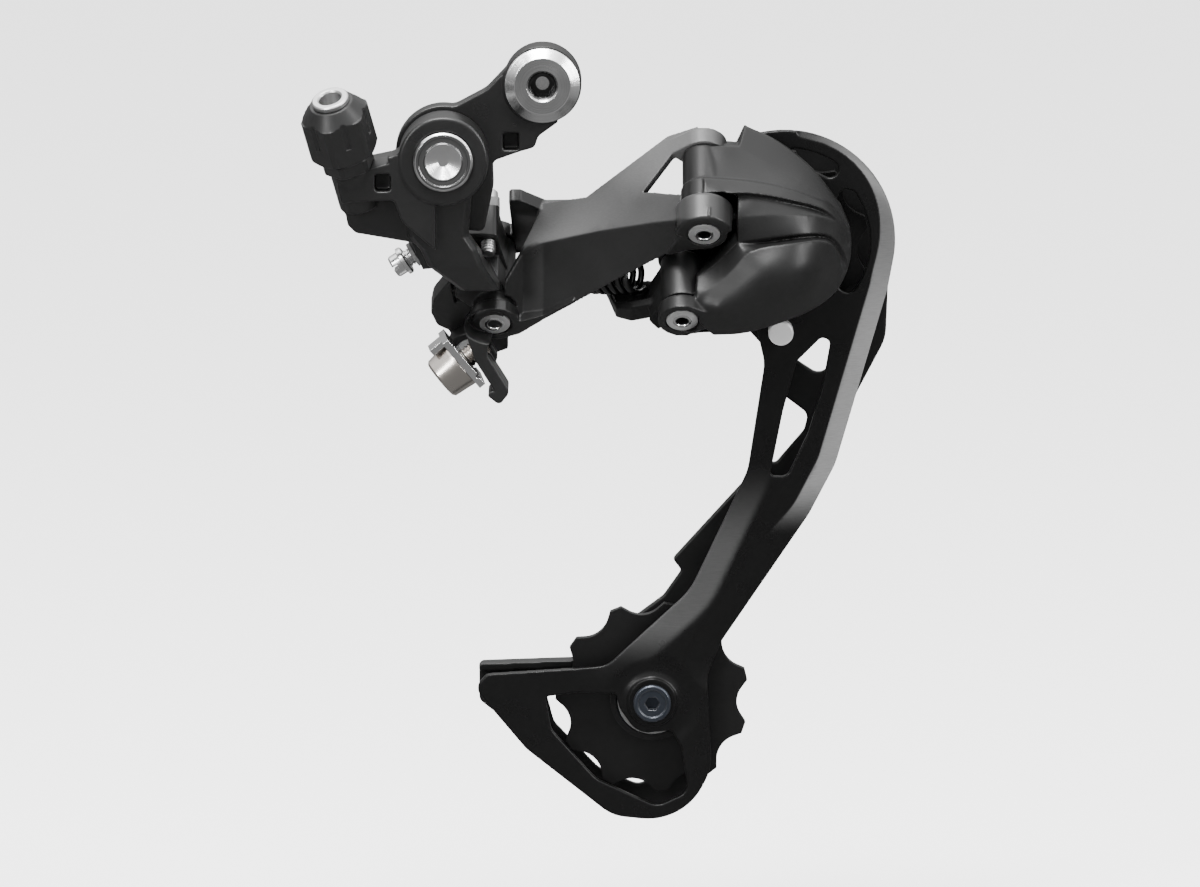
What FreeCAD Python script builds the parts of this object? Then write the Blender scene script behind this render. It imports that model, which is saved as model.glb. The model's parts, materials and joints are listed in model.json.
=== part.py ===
import FreeCAD, Part
import math
import os
from FreeCAD import Placement, Rotation, Vector

# Rear bicycle derailleur, in millimetres.
# X points forward, Y points inboard (towards the wheel) and Z points up.
# The origin is on the hanger bolt's axis, on the face of the bracket link that seats on the hanger.

doc = FreeCAD.newDocument("rear_derailleur")

SIZES = {
    "hanger_head_radius": 8.45,
    "hanger_thread_radius": 5.0,
    "hanger_thread_length": 9.5,
    "hanger_thread_middle": 5.2,
    "link_plate": 7.8,
    "upper_axle_radius": 4.6,
    "collar_radius": 10.1,
    "collar_length": 10.2,
    "pin_radius": 2.4,
    "pin_head_radius": 3.6,
    "barrel_radius": 4.8,
    "cage_plate": 2.0,
    "inner_plate": 1.8,
    "cage_gap": 8.0,
    "cage_front": 4.5,
    "pulley_teeth": 11,
    "chain_pitch": 12.7,
    "pulley_plate": 2.2,
    "tooth_width": 2.2,
    "pulley_bolt_radius": 2.5,
    "bush_radius": 4.0,
    "lever_tilt": 48.0,
    "fit": 0.05,
}

sheet = doc.addObject("Spreadsheet::Sheet", "Sizes")
for row, (alias, value) in enumerate(SIZES.items(), start=1):
    sheet.set(f"A{row}", alias)
    sheet.set(f"B{row}", str(value))
    sheet.setAlias(f"B{row}", alias)
doc.recompute()


def size(alias):
    return float(sheet.get(alias))


FIT = size("fit")
TILT = size("lever_tilt")
SIN_TILT = math.sin(math.radians(TILT))
COS_TILT = math.cos(math.radians(TILT))

# Axes that run along Y, as (x, z).
HANGER = (0.0, 0.0)
UPPER_AXLE = (-22.2, -15.7)
CAGE_AXLE = (56.6, -34.4)
GUIDE = (52.0, -39.6)
TENSION = (24.9, -144.8)
STOP_PIN = (54.0, -58.4)

# Axes of the four link pins, as (x, w) in the plane that the links swing in.
PIN_A = (-11.0, 42.5)
PIN_B = (36.3, 9.8)
PIN_STEP = (-4.9, 14.0)
PIN_C = (PIN_A[0] + PIN_STEP[0], PIN_A[1] + PIN_STEP[1])
PIN_D = (PIN_B[0] + PIN_STEP[0], PIN_B[1] + PIN_STEP[1])
LINK_SLOPE = (PIN_B[1] - PIN_A[1]) / (PIN_B[0] - PIN_A[0])

nodes = []


def facing(x=0.0, z=0.0, y=0.0):
    """A frame whose own x and y are the object's X and Z, and whose own z points outboard."""
    return Placement(Vector(x, y, z), Rotation(Vector(1, 0, 0), 90))


def lever_frame(x=0.0, w=0.0, h=0.0):
    """The links' frame: own x is X, own y is w, and own z is minus h; h runs outboard along the pins."""
    turn = Rotation(Vector(1, 0, 0), -TILT)
    return Placement(turn.multVec(Vector(x, w, -h)), turn)


def lever_point(x, w, h):
    return lever_frame().multVec(Vector(x, w, -h))


def register(item, label):
    item.Label = label
    nodes.append(item)
    return item


def solid(label, shape):
    """A sub-part whose shape comes from Part's own solids."""
    item = doc.addObject("Part::Feature", label)
    item.Shape = shape.removeSplitter() if len(shape.Solids) == 1 else shape
    return register(item, label)


def joined(shapes):
    first = shapes[0]
    return first.fuse(list(shapes[1:])) if len(shapes) > 1 else first


def cylinder(frame, radius, low, high, x=0.0, y=0.0):
    """A cylinder along the frame's own z, from low to high."""
    return moved(Part.makeCylinder(radius, high - low, Vector(x, y, low)), frame)


def moved(shape, frame):
    copy = shape.copy()
    copy.Placement = frame.multiply(copy.Placement)
    return copy


def rounded(points):
    """Edges of a closed outline; each point is (x, y) or (x, y, corner radius)."""
    count = len(points)
    ends = []
    for index, point in enumerate(points):
        here = Vector(point[0], point[1], 0)
        radius = point[2] if len(point) > 2 else 0.0
        before = Vector(points[index - 1][0], points[index - 1][1], 0)
        after = Vector(points[(index + 1) % count][0], points[(index + 1) % count][1], 0)
        to_before = (before - here).normalize()
        to_after = (after - here).normalize()
        half = to_before.getAngle(to_after) / 2
        if radius < 1e-6 or half > math.pi / 2 - 1e-3:
            ends.append((here, here, None))
            continue
        reach = radius / math.tan(half)
        start = here + to_before * reach
        stop = here + to_after * reach
        centre = here + (to_before + to_after).normalize() * (radius / math.sin(half))
        middle = centre + (here - centre).normalize() * radius
        ends.append((start, stop, middle))
    edges = []
    for index, (start, stop, middle) in enumerate(ends):
        if middle is not None:
            edges.append(Part.Arc(start, middle, stop))
        following = ends[(index + 1) % count][0]
        side = Vector(*points[(index + 1) % count][:2], 0) - Vector(*points[index][:2], 0)
        if (following - stop).dot(side) < -1e-6:
            raise ValueError(f"the corner radii at {points[index]} and the next point don't fit")
        if (following - stop).Length > 1e-6:
            edges.append(Part.LineSegment(stop, following))
    return edges


def circle(x, y, radius):
    return [Part.Circle(Vector(x, y, 0), Vector(0, 0, 1), radius)]


def slot(x1, y1, x2, y2, radius):
    along = Vector(x2 - x1, y2 - y1, 0).normalize()
    side = Vector(-along.y, along.x, 0) * radius
    first = Vector(x1, y1, 0)
    second = Vector(x2, y2, 0)
    return [
        Part.LineSegment(first + side, second + side),
        Part.Arc(second + side, second + along * radius, second - side),
        Part.LineSegment(second - side, first - side),
        Part.Arc(first - side, first - along * radius, first + side),
    ]


def arc_slot(cx, cy, radius, half_width, start, stop):
    """A curved slot about (cx, cy) from one angle to another, in degrees."""
    centre = Vector(cx, cy, 0)

    def at(distance, angle):
        return centre + Vector(math.cos(math.radians(angle)), math.sin(math.radians(angle)), 0) * distance

    inner = radius - half_width
    outer = radius + half_width
    middle = (start + stop) / 2
    end_push = math.degrees(half_width / radius)
    return [
        Part.Arc(at(outer, start), at(outer, middle), at(outer, stop)),
        Part.Arc(at(outer, stop), at(radius, stop + end_push), at(inner, stop)),
        Part.Arc(at(inner, stop), at(inner, middle), at(inner, start)),
        Part.Arc(at(inner, start), at(radius, start - end_push), at(outer, start)),
    ]


def prism(edges, low, high, frame):
    """A straight extrusion of a closed outline along the frame's own z."""
    wire = Part.Wire(Part.__sortEdges__([edge.toShape() for edge in edges]))
    shape = Part.Face(wire).extrude(Vector(0, 0, high - low))
    shape.translate(Vector(0, 0, low))
    return moved(shape, frame)


def tapered(sections):
    """A solid with flat sides between closed outlines given as lists of points in space."""
    wires = [Part.makePolygon(list(points) + [points[0]]) for points in sections]
    return Part.makeLoft(wires, True, True)


def origin_plane(body, role):
    return next(item for item in body.Origin.OriginFeatures if item.Role == role)


def new_body(label, place):
    body = doc.addObject("PartDesign::Body", label)
    body.Placement = place
    return register(body, label)


def sketch(body, outlines, level=0.0, role="XY_Plane"):
    drawing = body.newObject("Sketcher::SketchObject", body.Label + "_sketch")
    drawing.AttachmentSupport = [(origin_plane(body, role), "")]
    drawing.MapMode = "FlatFace"
    drawing.AttachmentOffset = Placement(Vector(0, 0, level), Rotation())
    for outline in outlines:
        drawing.addGeometry(outline, False)
    return drawing


def pad(body, outlines, length, level=0.0):
    """Adds material outboard from the level; length is a number or an expression on the sheet."""
    feature = body.newObject("PartDesign::Pad", body.Label + "_pad")
    feature.Profile = sketch(body, outlines, level)
    return set_length(feature, length)


def pocket(body, outlines, depth, level):
    """Cuts inboard from the level."""
    feature = body.newObject("PartDesign::Pocket", body.Label + "_pocket")
    feature.Profile = sketch(body, outlines, level)
    return set_length(feature, depth)


def set_length(feature, length):
    if isinstance(length, str):
        feature.setExpression("Length", length)
    else:
        feature.Length = length
    return feature


def turned(label, place, profile):
    """A body turned about its own z from (radius, height) points."""
    body = new_body(label, place)
    feature = body.newObject("PartDesign::Revolution", label + "_turn")
    drawing = sketch(body, [rounded(profile)], 0.0, "XZ_Plane")
    feature.Profile = drawing
    feature.ReferenceAxis = (drawing, ["V_Axis"])
    feature.Angle = 360.0
    return body


def polygon(sides, across_flats, turn=0.0, x=0.0, y=0.0):
    radius = across_flats / 2 / math.cos(math.pi / sides)
    corners = []
    for index in range(sides):
        angle = math.radians(turn) + 2 * math.pi * index / sides
        corners.append((x + radius * math.cos(angle), y + radius * math.sin(angle)))
    return rounded(corners)


def thread(radius, low, high, pitch=0.8, depth=0.4):
    """(radius, height) points of a thread drawn as rings, from low up to high."""
    count = max(1, int((high - low) / pitch))
    step = (high - low) / count
    points = []
    for index in range(count):
        base = low + index * step
        points.append((radius - depth, base))
        points.append((radius, base + 0.4 * step))
        points.append((radius, base + 0.6 * step))
    points.append((radius - depth, high))
    return points


# Hanger end -------------------------------------------------------------------------------------


def hanger_bolt():
    head = size("hanger_head_radius")
    screw = size("hanger_thread_radius")
    reach = size("hanger_thread_length")
    profile = [
        (0, -reach),
        (screw - 0.8, -reach),
        (screw, -reach + 0.8),
        (screw, -1.6),
        (4.4, -1.3),
        (4.4, 0.3),
        (5.4, 0.3),
        (5.4, 8.1),
        (head, 8.1),
        (head, 9.0),
        (6.4, 10.4),
        (0, 10.4),
    ]
    body = turned("hanger_bolt", facing(*HANGER), profile)
    pocket(body, [polygon(6, 5.0)], 5.2, 10.4)
    groove = body.newObject("PartDesign::Groove", "hanger_bolt_countersink")
    drawing = sketch(body, [rounded([(0, 11.0), (3.6, 11.0), (3.6, 10.4), (2.9, 9.7), (0, 9.7)])], 0.0, "XZ_Plane")
    groove.Profile = drawing
    groove.ReferenceAxis = (drawing, ["V_Axis"])
    groove.Angle = 360.0


def hanger_bolt_ring():
    ring = cylinder(facing(*HANGER), 6.6, -0.9, -0.1).cut(cylinder(facing(*HANGER), 4.45, -1.0, 0.0))
    gap = moved(Part.makeBox(3.0, 4.0, 2.0, Vector(-1.5, -7.5, -1.5)), facing(*HANGER))
    solid("hanger_bolt_ring", ring.cut(gap))


def bracket_link():
    boss = 8.8
    end = 10.9
    x, z = UPPER_AXLE
    body = new_body("bracket_link", facing())
    web = [
        (-4.5, 7.4, 0.0),
        (-12.6, -1.2, 6.0),
        (-19.5, -4.9, 4.0),
        (-24.0, -5.2, 3.0),
        (-29.6, -9.6, 4.0),
        (-32.0, -20.5, 5.0),
        (-25.5, -26.4, 3.0),
        (-18.0, -26.5, 3.0),
        (-17.6, -33.2, 1.0),
        (-13.2, -33.6, 1.5),
        (-11.0, -23.0, 4.0),
        (-11.2, -17.5, 1.5),
        (-5.0, -15.3, 1.0),
        (-1.8, -14.4, 1.5),
        (-0.9, -11.8, 1.5),
        (3.5, -8.6, 0.0),
    ]
    pad(body, [rounded(web)], "Sizes.link_plate - 2.2", 1.6)
    pad(body, [circle(0, 0, boss)], "Sizes.link_plate", 0.0)
    pad(body, [circle(x, z, end)], "Sizes.link_plate - 2.2", 1.6)
    pocket(body, [circle(0, 0, 5.4 + FIT)], 12.0, 9.0)
    pocket(body, [circle(x, z, size("upper_axle_radius") + FIT)], 12.0, 9.0)
    pocket(body, [rounded([(-8.9, -11.0, 0.4), (-5.4, -11.0, 0.4), (-5.4, -15.0, 0.4), (-8.9, -15.0, 0.4)])], 3.0, 7.2)
    pocket(body, [circle(0, 0, 7.0)], 1.0, 1.0)
    pocket(body, [circle(x, z, 7.4)], 1.6, 3.2)


def upper_axle():
    radius = size("upper_axle_radius")
    profile = [
        (0, 1.65),
        (3.9, 1.65),
        (radius, 2.0),
        (radius, 18.9),
        (6.7, 18.9),
        (6.7, 19.7),
        (6.3, 20.1),
        (5.6, 20.1),
        (5.4, 19.8),
        (4.4, 19.8),
        (4.2, 20.1),
        (3.9, 20.1),
        (1.2, 18.6),
        (0, 18.6),
    ]
    turned("upper_axle", facing(*UPPER_AXLE), profile)
    washer = cylinder(facing(*UPPER_AXLE), 7.2, 1.8, 3.1)
    solid("upper_axle_washer", washer.cut(cylinder(facing(*UPPER_AXLE), radius + 0.03, 0.0, 4.0)))
    bush = cylinder(facing(*UPPER_AXLE), 5.8, 8.9, 18.2)
    solid("upper_axle_bush", bush.cut(cylinder(facing(*UPPER_AXLE), radius + FIT, 8.0, 19.0)))
    ring = cylinder(facing(*UPPER_AXLE), 8.4, 7.3, 8.45)
    solid("upper_seal_ring", ring.cut(cylinder(facing(*UPPER_AXLE), radius + 0.4, 7.0, 9.0)))


# Bracket knuckle --------------------------------------------------------------------------------

ADJUSTER_SEAT = Vector(-42.3, -13.6, -21.0)
ADJUSTER_AXIS = Vector(-0.22, -0.417, 0.881).normalize()
TENSION_SCREW_TIP = Vector(-18.1, -5.2, -32.0)
TENSION_SCREW_AXIS = Vector(-0.84, 0.0, -0.545).normalize()


def along(point, direction):
    """A frame at a point with its own z along a direction."""
    return Placement(point, Rotation(Vector(0, 0, 1), direction))


def bracket_knuckle():
    x, z = UPPER_AXLE
    face = facing()
    adjuster = along(ADJUSTER_SEAT, ADJUSTER_AXIS)
    screw = along(TENSION_SCREW_TIP, TENSION_SCREW_AXIS)
    collar = cylinder(facing(x, z), size("collar_radius"), 8.6, 8.6 + size("collar_length"))
    rim = collar.Edges
    collar = collar.makeFillet(0.8, [edge for edge in rim if edge.BoundBox.YMax < -18.0 and edge.BoundBox.YLength < 0.1])
    upper = [
        (-24.0, -9.0, 0.0),
        (-33.5, -14.6, 1.0),
        (-38.4, -15.6, 0.8),
        (-39.6, -19.0, 1.0),
        (-46.2, -20.2, 1.2),
        (-45.0, -25.8, 1.0),
        (-43.0, -25.0, 1.0),
        (-33.3, -24.6, 1.0),
        (-31.5, -29.5, 1.5),
        (-24.0, -36.0, 0.0),
    ]
    lower = [
        (-30.0, -16.0, 0.0),
        (-45.5, -21.5, 1.0),
        (-43.8, -31.0, 1.0),
        (-42.0, -32.8, 1.5),
        (-30.3, -34.8, 1.5),
        (-24.0, -36.5, 0.0),
    ]
    shapes = [
        collar,
        prism(rounded(upper), 9.0, 18.2, face),
        prism(rounded(lower), 9.0, 13.6, face),
    ]
    spine = []
    for left, right, height, front, back in (
        (-31.0, -15.5, -18.0, -17.6, -8.8),
        (-30.2, -16.6, -33.4, -15.6, -8.8),
        (-27.5, -14.6, -36.6, -14.9, -6.5),
        (-25.8, -13.2, -40.5, -13.8, 3.5),
        (-18.6, -9.6, -46.6, -10.4, 9.0),
    ):
        bevel = 1.4
        spine.append(
            [
                Vector(left, front + bevel, height),
                Vector(left + bevel, front, height),
                Vector(right - bevel, front, height),
                Vector(right, front + bevel, height),
                Vector(right, back, height),
                Vector(left, back, height),
            ]
        )
    shapes.append(tapered(spine))
    ax, aw = PIN_A
    cx, cw = PIN_C
    barrel = size("barrel_radius")
    lever = lever_frame()
    shapes.append(cylinder(lever, barrel, -33.6, -14.6, ax, aw))
    shapes.append(cylinder(lever, barrel, -29.6, -19.4, cx, cw))
    rib = [(ax - 4.4, aw - 2.0), (ax + 3.0, aw + 3.5), (cx + 4.4, cw + 1.5), (cx - 4.4, cw + 2.0), (cx - 8.0, cw - 8.0, 4.0)]
    shapes.append(prism(rounded(rib), -29.2, -19.8, lever))
    lobe = [(-21.0, 36.0), (-24.9, 43.6, 4.0), (-25.6, 48.2, 3.0), (-24.2, 53.0, 2.5), (-18.6, 56.6)]
    shapes.append(prism(rounded(lobe), -29.2, -25.0, lever))
    block = [(-19.5, 26.0, 1.0), (-10.4, 26.0, 1.0), (-9.4, 32.0, 1.0), (-7.6, 41.0), (-15.5, 44.0), (-19.5, 38.0, 1.0)]
    shapes.append(prism(rounded(block), -24.0, -15.2, lever))
    neck = [(-19.5, 33.0), (-10.0, 33.5), (-7.6, 41.5), (-15.0, 45.5), (-20.0, 40.0)]
    shapes.append(prism(rounded(neck), -31.0, -16.0, lever))
    shapes.append(cylinder(adjuster, 4.7, -6.0, 4.2))
    shapes.append(cylinder(screw, 3.4, 5.0, 12.6))
    shapes.append(prism(rounded([(-30.0, -34.5), (-22.0, -33.8), (-20.5, -41.0), (-27.0, -41.8)]), 5.0, 10.0, face))
    body = joined(shapes)
    cuts = [
        cylinder(facing(x, z), 5.8, 8.0, 19.5),
        cylinder(facing(x, z), 6.9, 18.5, 20.0),
        cylinder(facing(x, z), 8.7, 6.0, 9.0 - 0.4),
        cylinder(lever, size("pin_radius") + 0.8, -34.0, -10.0, ax, aw),
        cylinder(lever, size("pin_radius") + 0.8, -30.0, -19.0, cx, cw),
        cylinder(adjuster, 2.6, -7.0, 5.0),
        cylinder(adjuster, 3.7, 0.2, 5.0),
        cylinder(screw, 2.06, 0.0, 9.4),
        cylinder(screw, 2.9, 9.4, 16.0),
        cylinder(adjuster, 9.2, 4.3, 22.0),
        prism(rounded([(-37.6, -18.6, 0.8), (-34.0, -18.6, 0.8), (-34.0, -22.6, 0.8), (-37.6, -22.6, 0.8)]), 15.0, 19.0, face),
        prism(rounded([(-43.5, -24.5, 1.0), (-33.5, -24.0, 1.0), (-31.5, -32.5, 1.0), (-42.0, -31.5, 1.0)]), 8.0, 11.6, face),
        cylinder(lever, 1.75, -28.0, -12.0, -12.4, 29.4),
        cylinder(lever, 1.75, -28.0, -12.0, -17.2, 29.4),
        cylinder(lever, 6.2, -34.0, -29.8, cx, cw),
        cylinder(lever, 6.2, -19.2, -14.0, cx, cw),
    ]
    for shape in cuts:
        body = body.cut(shape)
    solid("bracket_knuckle", body)


def tension_screw():
    frame = along(TENSION_SCREW_TIP, TENSION_SCREW_AXIS)
    profile = [(0, 0.35), (1.3, 0.35)]
    profile += thread(2.0, 0.9, 15.0, 0.7, 0.35)
    profile += [(3.0, 15.0), (3.3, 15.3), (3.3, 16.1), (2.6, 16.3), (2.6, 18.2), (2.3, 18.6), (0, 18.6)]
    body = turned("tension_screw", frame, profile)
    pocket(body, [rounded([(-0.45, -3.5), (0.45, -3.5), (0.45, 3.5), (-0.45, 3.5)])], 1.3, 18.6)
    insert = cylinder(frame, 2.88, 9.5, 13.4).cut(cylinder(frame, 2.03, 9.0, 16.0))
    solid("tension_screw_insert", insert)


def adjuster():
    frame = along(ADJUSTER_SEAT, ADJUSTER_AXIS)
    lower = prism(polygon(6, 10.6, 15.0), 4.6, 9.2, frame)
    upper = prism(polygon(6, 14.2, 15.0), 8.2, 19.0, frame)
    cap = moved(Part.makeCone(7.4, 4.9, 3.0, Vector(0, 0, 19.0)), frame)
    cap = cap.common(prism(polygon(6, 14.2, 15.0), 18.0, 23.0, frame))
    knob = joined([lower, upper, cap])
    dress = moved(Part.makeCone(5.2, 7.8, 1.8, Vector(0, 0, 7.4)), frame)
    dress = dress.fuse(cylinder(frame, 5.8, 4.5, 7.6)).fuse(cylinder(frame, 7.8, 9.2, 23.0))
    knob = knob.common(dress)
    for index in range(6):
        turn = math.radians(45.0 + 60.0 * index)
        flute = cylinder(frame, 1.2, 13.0, 23.0, 8.0 * math.cos(turn), 8.0 * math.sin(turn))
        knob = knob.cut(flute)
    knob = knob.cut(cylinder(frame, 2.75, 4.0, 16.0))
    knob = knob.cut(cylinder(frame, 3.45, 16.0, 24.0))
    solid("adjuster_knob", knob)
    profile = [(1.1, -6.5), (2.1, -6.5)] + thread(2.5, -6.0, 4.0, 0.8, 0.4)
    profile += [(2.7, 4.0), (2.7, 15.8), (1.1, 15.8)]
    turned("adjuster_screw", frame, profile)
    profile = [(1.1, 16.1), (3.4, 16.1), (3.4, 22.1), (4.2, 22.1), (4.2, 23.0), (3.9, 23.3), (2.9, 23.3), (2.55, 22.9), (2.55, 17.0), (1.1, 17.0)]
    turned("adjuster_ferrule", frame, profile)
    helix = Part.makeHelix(1.5, 3.0, 3.1)
    wire = Part.Wire([Part.Circle(Vector(3.1, 0, 0), Vector(0, 1, 0), 0.5).toShape()])
    coil = Part.Wire(helix).makePipeShell([wire], True, True)
    coil.translate(Vector(0, 0, 0.9))
    solid("adjuster_spring", moved(coil, frame))


def limit_screws():
    for label, x in (("high_limit_screw", -12.4), ("low_limit_screw", -17.2)):
        frame = lever_frame(x, 29.4, 0.0)
        profile = [(0, -27.0), (1.2, -27.0)] + thread(1.7, -26.6, -12.0, 0.7, 0.3)
        profile += [(2.2, -12.0), (2.2, -9.6), (1.9, -9.3), (0, -9.3)]
        body = turned(label, frame, profile)
        pocket(body, [rounded([(-0.35, -3), (0.35, -3), (0.35, 3), (-0.35, 3)])], 0.9, -9.3)
        pocket(body, [rounded([(-3, -0.35), (3, -0.35), (3, 0.35), (-3, 0.35)])], 0.9, -9.3)
    body = new_body("limit_plate", lever_frame())
    outline = [(-20.0, 26.6, 0.8), (-9.8, 26.6, 0.8), (-9.8, 32.2, 0.8), (-20.0, 32.2, 0.8)]
    holes = [circle(x, 29.4, 1.78) for x in (-12.4, -17.2)]
    pad(body, [rounded(outline)] + holes, 2.6, -15.1)


# Parallelogram ----------------------------------------------------------------------------------


def link_line(x, pin=PIN_A):
    """w on the straight line along a link at x."""
    return pin[1] + LINK_SLOPE * (x - pin[0])


def outer_link():
    """Stations give x, the wall's top and bend heights, and how far its lower face leans in."""
    lever = lever_frame()
    wall = 2.2
    sections = []
    for x, top, bend, lean in (
        (-8.6, 29.5, 31.0, 3.0),
        (-4.6, 22.6, 24.6, 5.2),
        (0.2, 12.4, 24.2, 5.8),
        (7.0, 15.0, 26.0, 4.8),
        (13.0, 17.2, 27.9, 3.6),
        (24.3, 22.6, 31.4, 1.6),
        (31.0, 27.0, 34.6, 0.6),
        (37.6, 30.4, 36.6, -0.6),
    ):
        line = link_line(x)
        outer = line - 5.9
        sections.append(
            [
                lever_point(x, outer, top),
                lever_point(x, outer, bend),
                lever_point(x, line + lean, 37.0),
                lever_point(x, line + lean, 34.2),
                lever_point(x, outer + wall, bend - 1.4),
                lever_point(x, outer + wall, top),
            ]
        )
    shell = tapered(sections)
    arm = [
        (6.6, 17.4),
        (28.2, 8.6),
        (35.0, 9.6, 1.0),
        (35.0, 13.9, 0.0),
        (29.5, 14.0, 0.6),
        (21.0, 23.6),
        (8.0, 18.5),
    ]
    inner = [lever_point(x, link_line(x) - 5.9 + wall + 0.6, h) for x, h, *_ in arm]
    outer = [lever_point(x, link_line(x) - 5.9, h) for x, h, *_ in arm]
    arm_shape = tapered([outer, inner])
    ax, aw = PIN_A
    bx, bw = PIN_B
    shapes = [shell, arm_shape]
    shapes.append(cylinder(lever, 5.6, -37.0, -33.9, ax, aw))
    shapes.append(cylinder(lever, 5.2, -37.0, -33.9, bx, bw))
    shapes.append(cylinder(lever, 5.3, -14.3, -10.2, bx, bw))
    bridge = [(28.6, 9.2), (33.6, 5.2), (bx + 1.0, bw - 5.2), (bx, bw + 3.0), (31.5, 12.0)]
    shapes.append(prism(rounded(bridge), -14.3, -10.2, lever))
    shapes.append(cylinder(lever, 5.3, -14.3, -10.8, ax, aw))
    upper = [
        (-7.0, 38.0),
        (-7.8, 25.8, 1.0),
        (-5.0, 26.0),
        (0.6, 29.8),
        (8.0, 29.6),
        (8.0, 32.8),
        (2.6, 34.0),
        (-5.0, 45.0),
        (-9.0, 46.4),
    ]
    shapes.append(prism(rounded(upper), -14.3, -10.8, lever))
    heel = [
        (-13.4, 37.6),
        (-8.4, 37.4),
        (-5.4, 41.6),
        (0.2, 39.2),
        (7.0, 33.8),
        (7.0, 34.8),
        (0.4, 40.6),
        (-5.4, 46.2, 3.0),
        (-9.5, 47.9),
        (-13.4, 47.3),
    ]
    shapes.append(prism(rounded(heel), -37.0, -33.9, lever))
    toe = [(28.6, 14.8), (32.0, 9.0), (bx, bw - 5.2), (bx + 1.0, bw + 5.0), (32.5, 15.4), (28.0, 17.4)]
    shapes.append(prism(rounded(toe), -37.0, -33.9, lever))
    cable_arm = [
        (-9.0, -53.0),
        (-9.0, -56.5, 1.0),
        (-12.4, -59.8, 2.0),
        (-12.6, -62.2, 2.0),
        (-7.4, -70.6, 1.6),
        (-9.8, -73.6, 1.0),
        (-12.6, -71.4, 0.5),
        (-11.6, -70.2, 0.5),
        (-10.6, -70.9, 0.1),
        (-15.4, -63.2, 2.0),
        (-18.0, -55.4, 1.6),
        (-14.5, -52.6, 0.5),
    ]
    shapes.append(prism(rounded(cable_arm), -4.5, 6.5, facing()))
    boss = [(-14.3, -60.6), (-12.0, -60.4, 1.2), (-10.0, -64.0, 1.6), (-12.3, -66.9, 1.2), (-14.3, -65.2, 0.6)]
    shapes.append(prism(rounded(boss), -6.6, -1.2, facing()))
    body = joined(shapes)
    sweep = cylinder(lever, 5.5, -33.9, -14.3, ax, aw)
    body = body.cut(sweep)
    body = body.cut(cylinder(lever, 5.5, -33.9, -14.3, bx, bw))
    room = [(31.8, bw - 12.0), (42.0, bw - 12.0), (42.0, bw + 8.0), (31.8, bw + 8.0)]
    body = body.cut(prism(rounded(room), -33.9, -14.3, lever))
    for pin in (PIN_A, PIN_B):
        body = body.cut(cylinder(lever, size("pin_radius") + 0.02, -40.0, -8.0, *pin))
        body = body.cut(cylinder(lever, size("pin_head_radius") + 0.15, -38.0, -36.2, *pin))
    body = body.cut(cylinder(CLAMP_FRAME, 2.6, -8.0, 8.0))
    solid("outer_link", body)


CLAMP_AXIS = Vector(-0.77, -0.05, -0.636).normalize()
CLAMP_FRAME = along(Vector(-15.9, -1.0, -62.6), CLAMP_AXIS)


def cable_clamp():
    plate = Part.makeBox(13.4, 11.0, 1.6, Vector(-6.0, -5.5, 1.9))
    tab = Part.makeBox(1.4, 5.0, 3.4, Vector(6.0, -2.5, 3.5))
    shape = plate.fuse(tab)
    shape = shape.cut(Part.makeCylinder(2.6, 6.0, Vector(0, 0, 0)))
    groove = Part.makeCylinder(0.7, 12.0, Vector(-3.6, -6.0, 1.8), Vector(0, 1, 0))
    shape = shape.cut(groove)
    solid("cable_clamp_plate", moved(shape, CLAMP_FRAME))
    profile = [(0, -6.4), (1.9, -6.4)] + thread(2.45, -6.0, 1.8, 0.8, 0.4)
    profile += [(2.45, 3.6), (5.6, 3.6), (5.6, 4.2), (5.0, 9.0), (4.4, 9.5), (0, 9.5)]
    body = turned("cable_clamp_bolt", CLAMP_FRAME, profile)
    pocket(body, [polygon(6, 5.0)], 3.6, 9.5)


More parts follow.
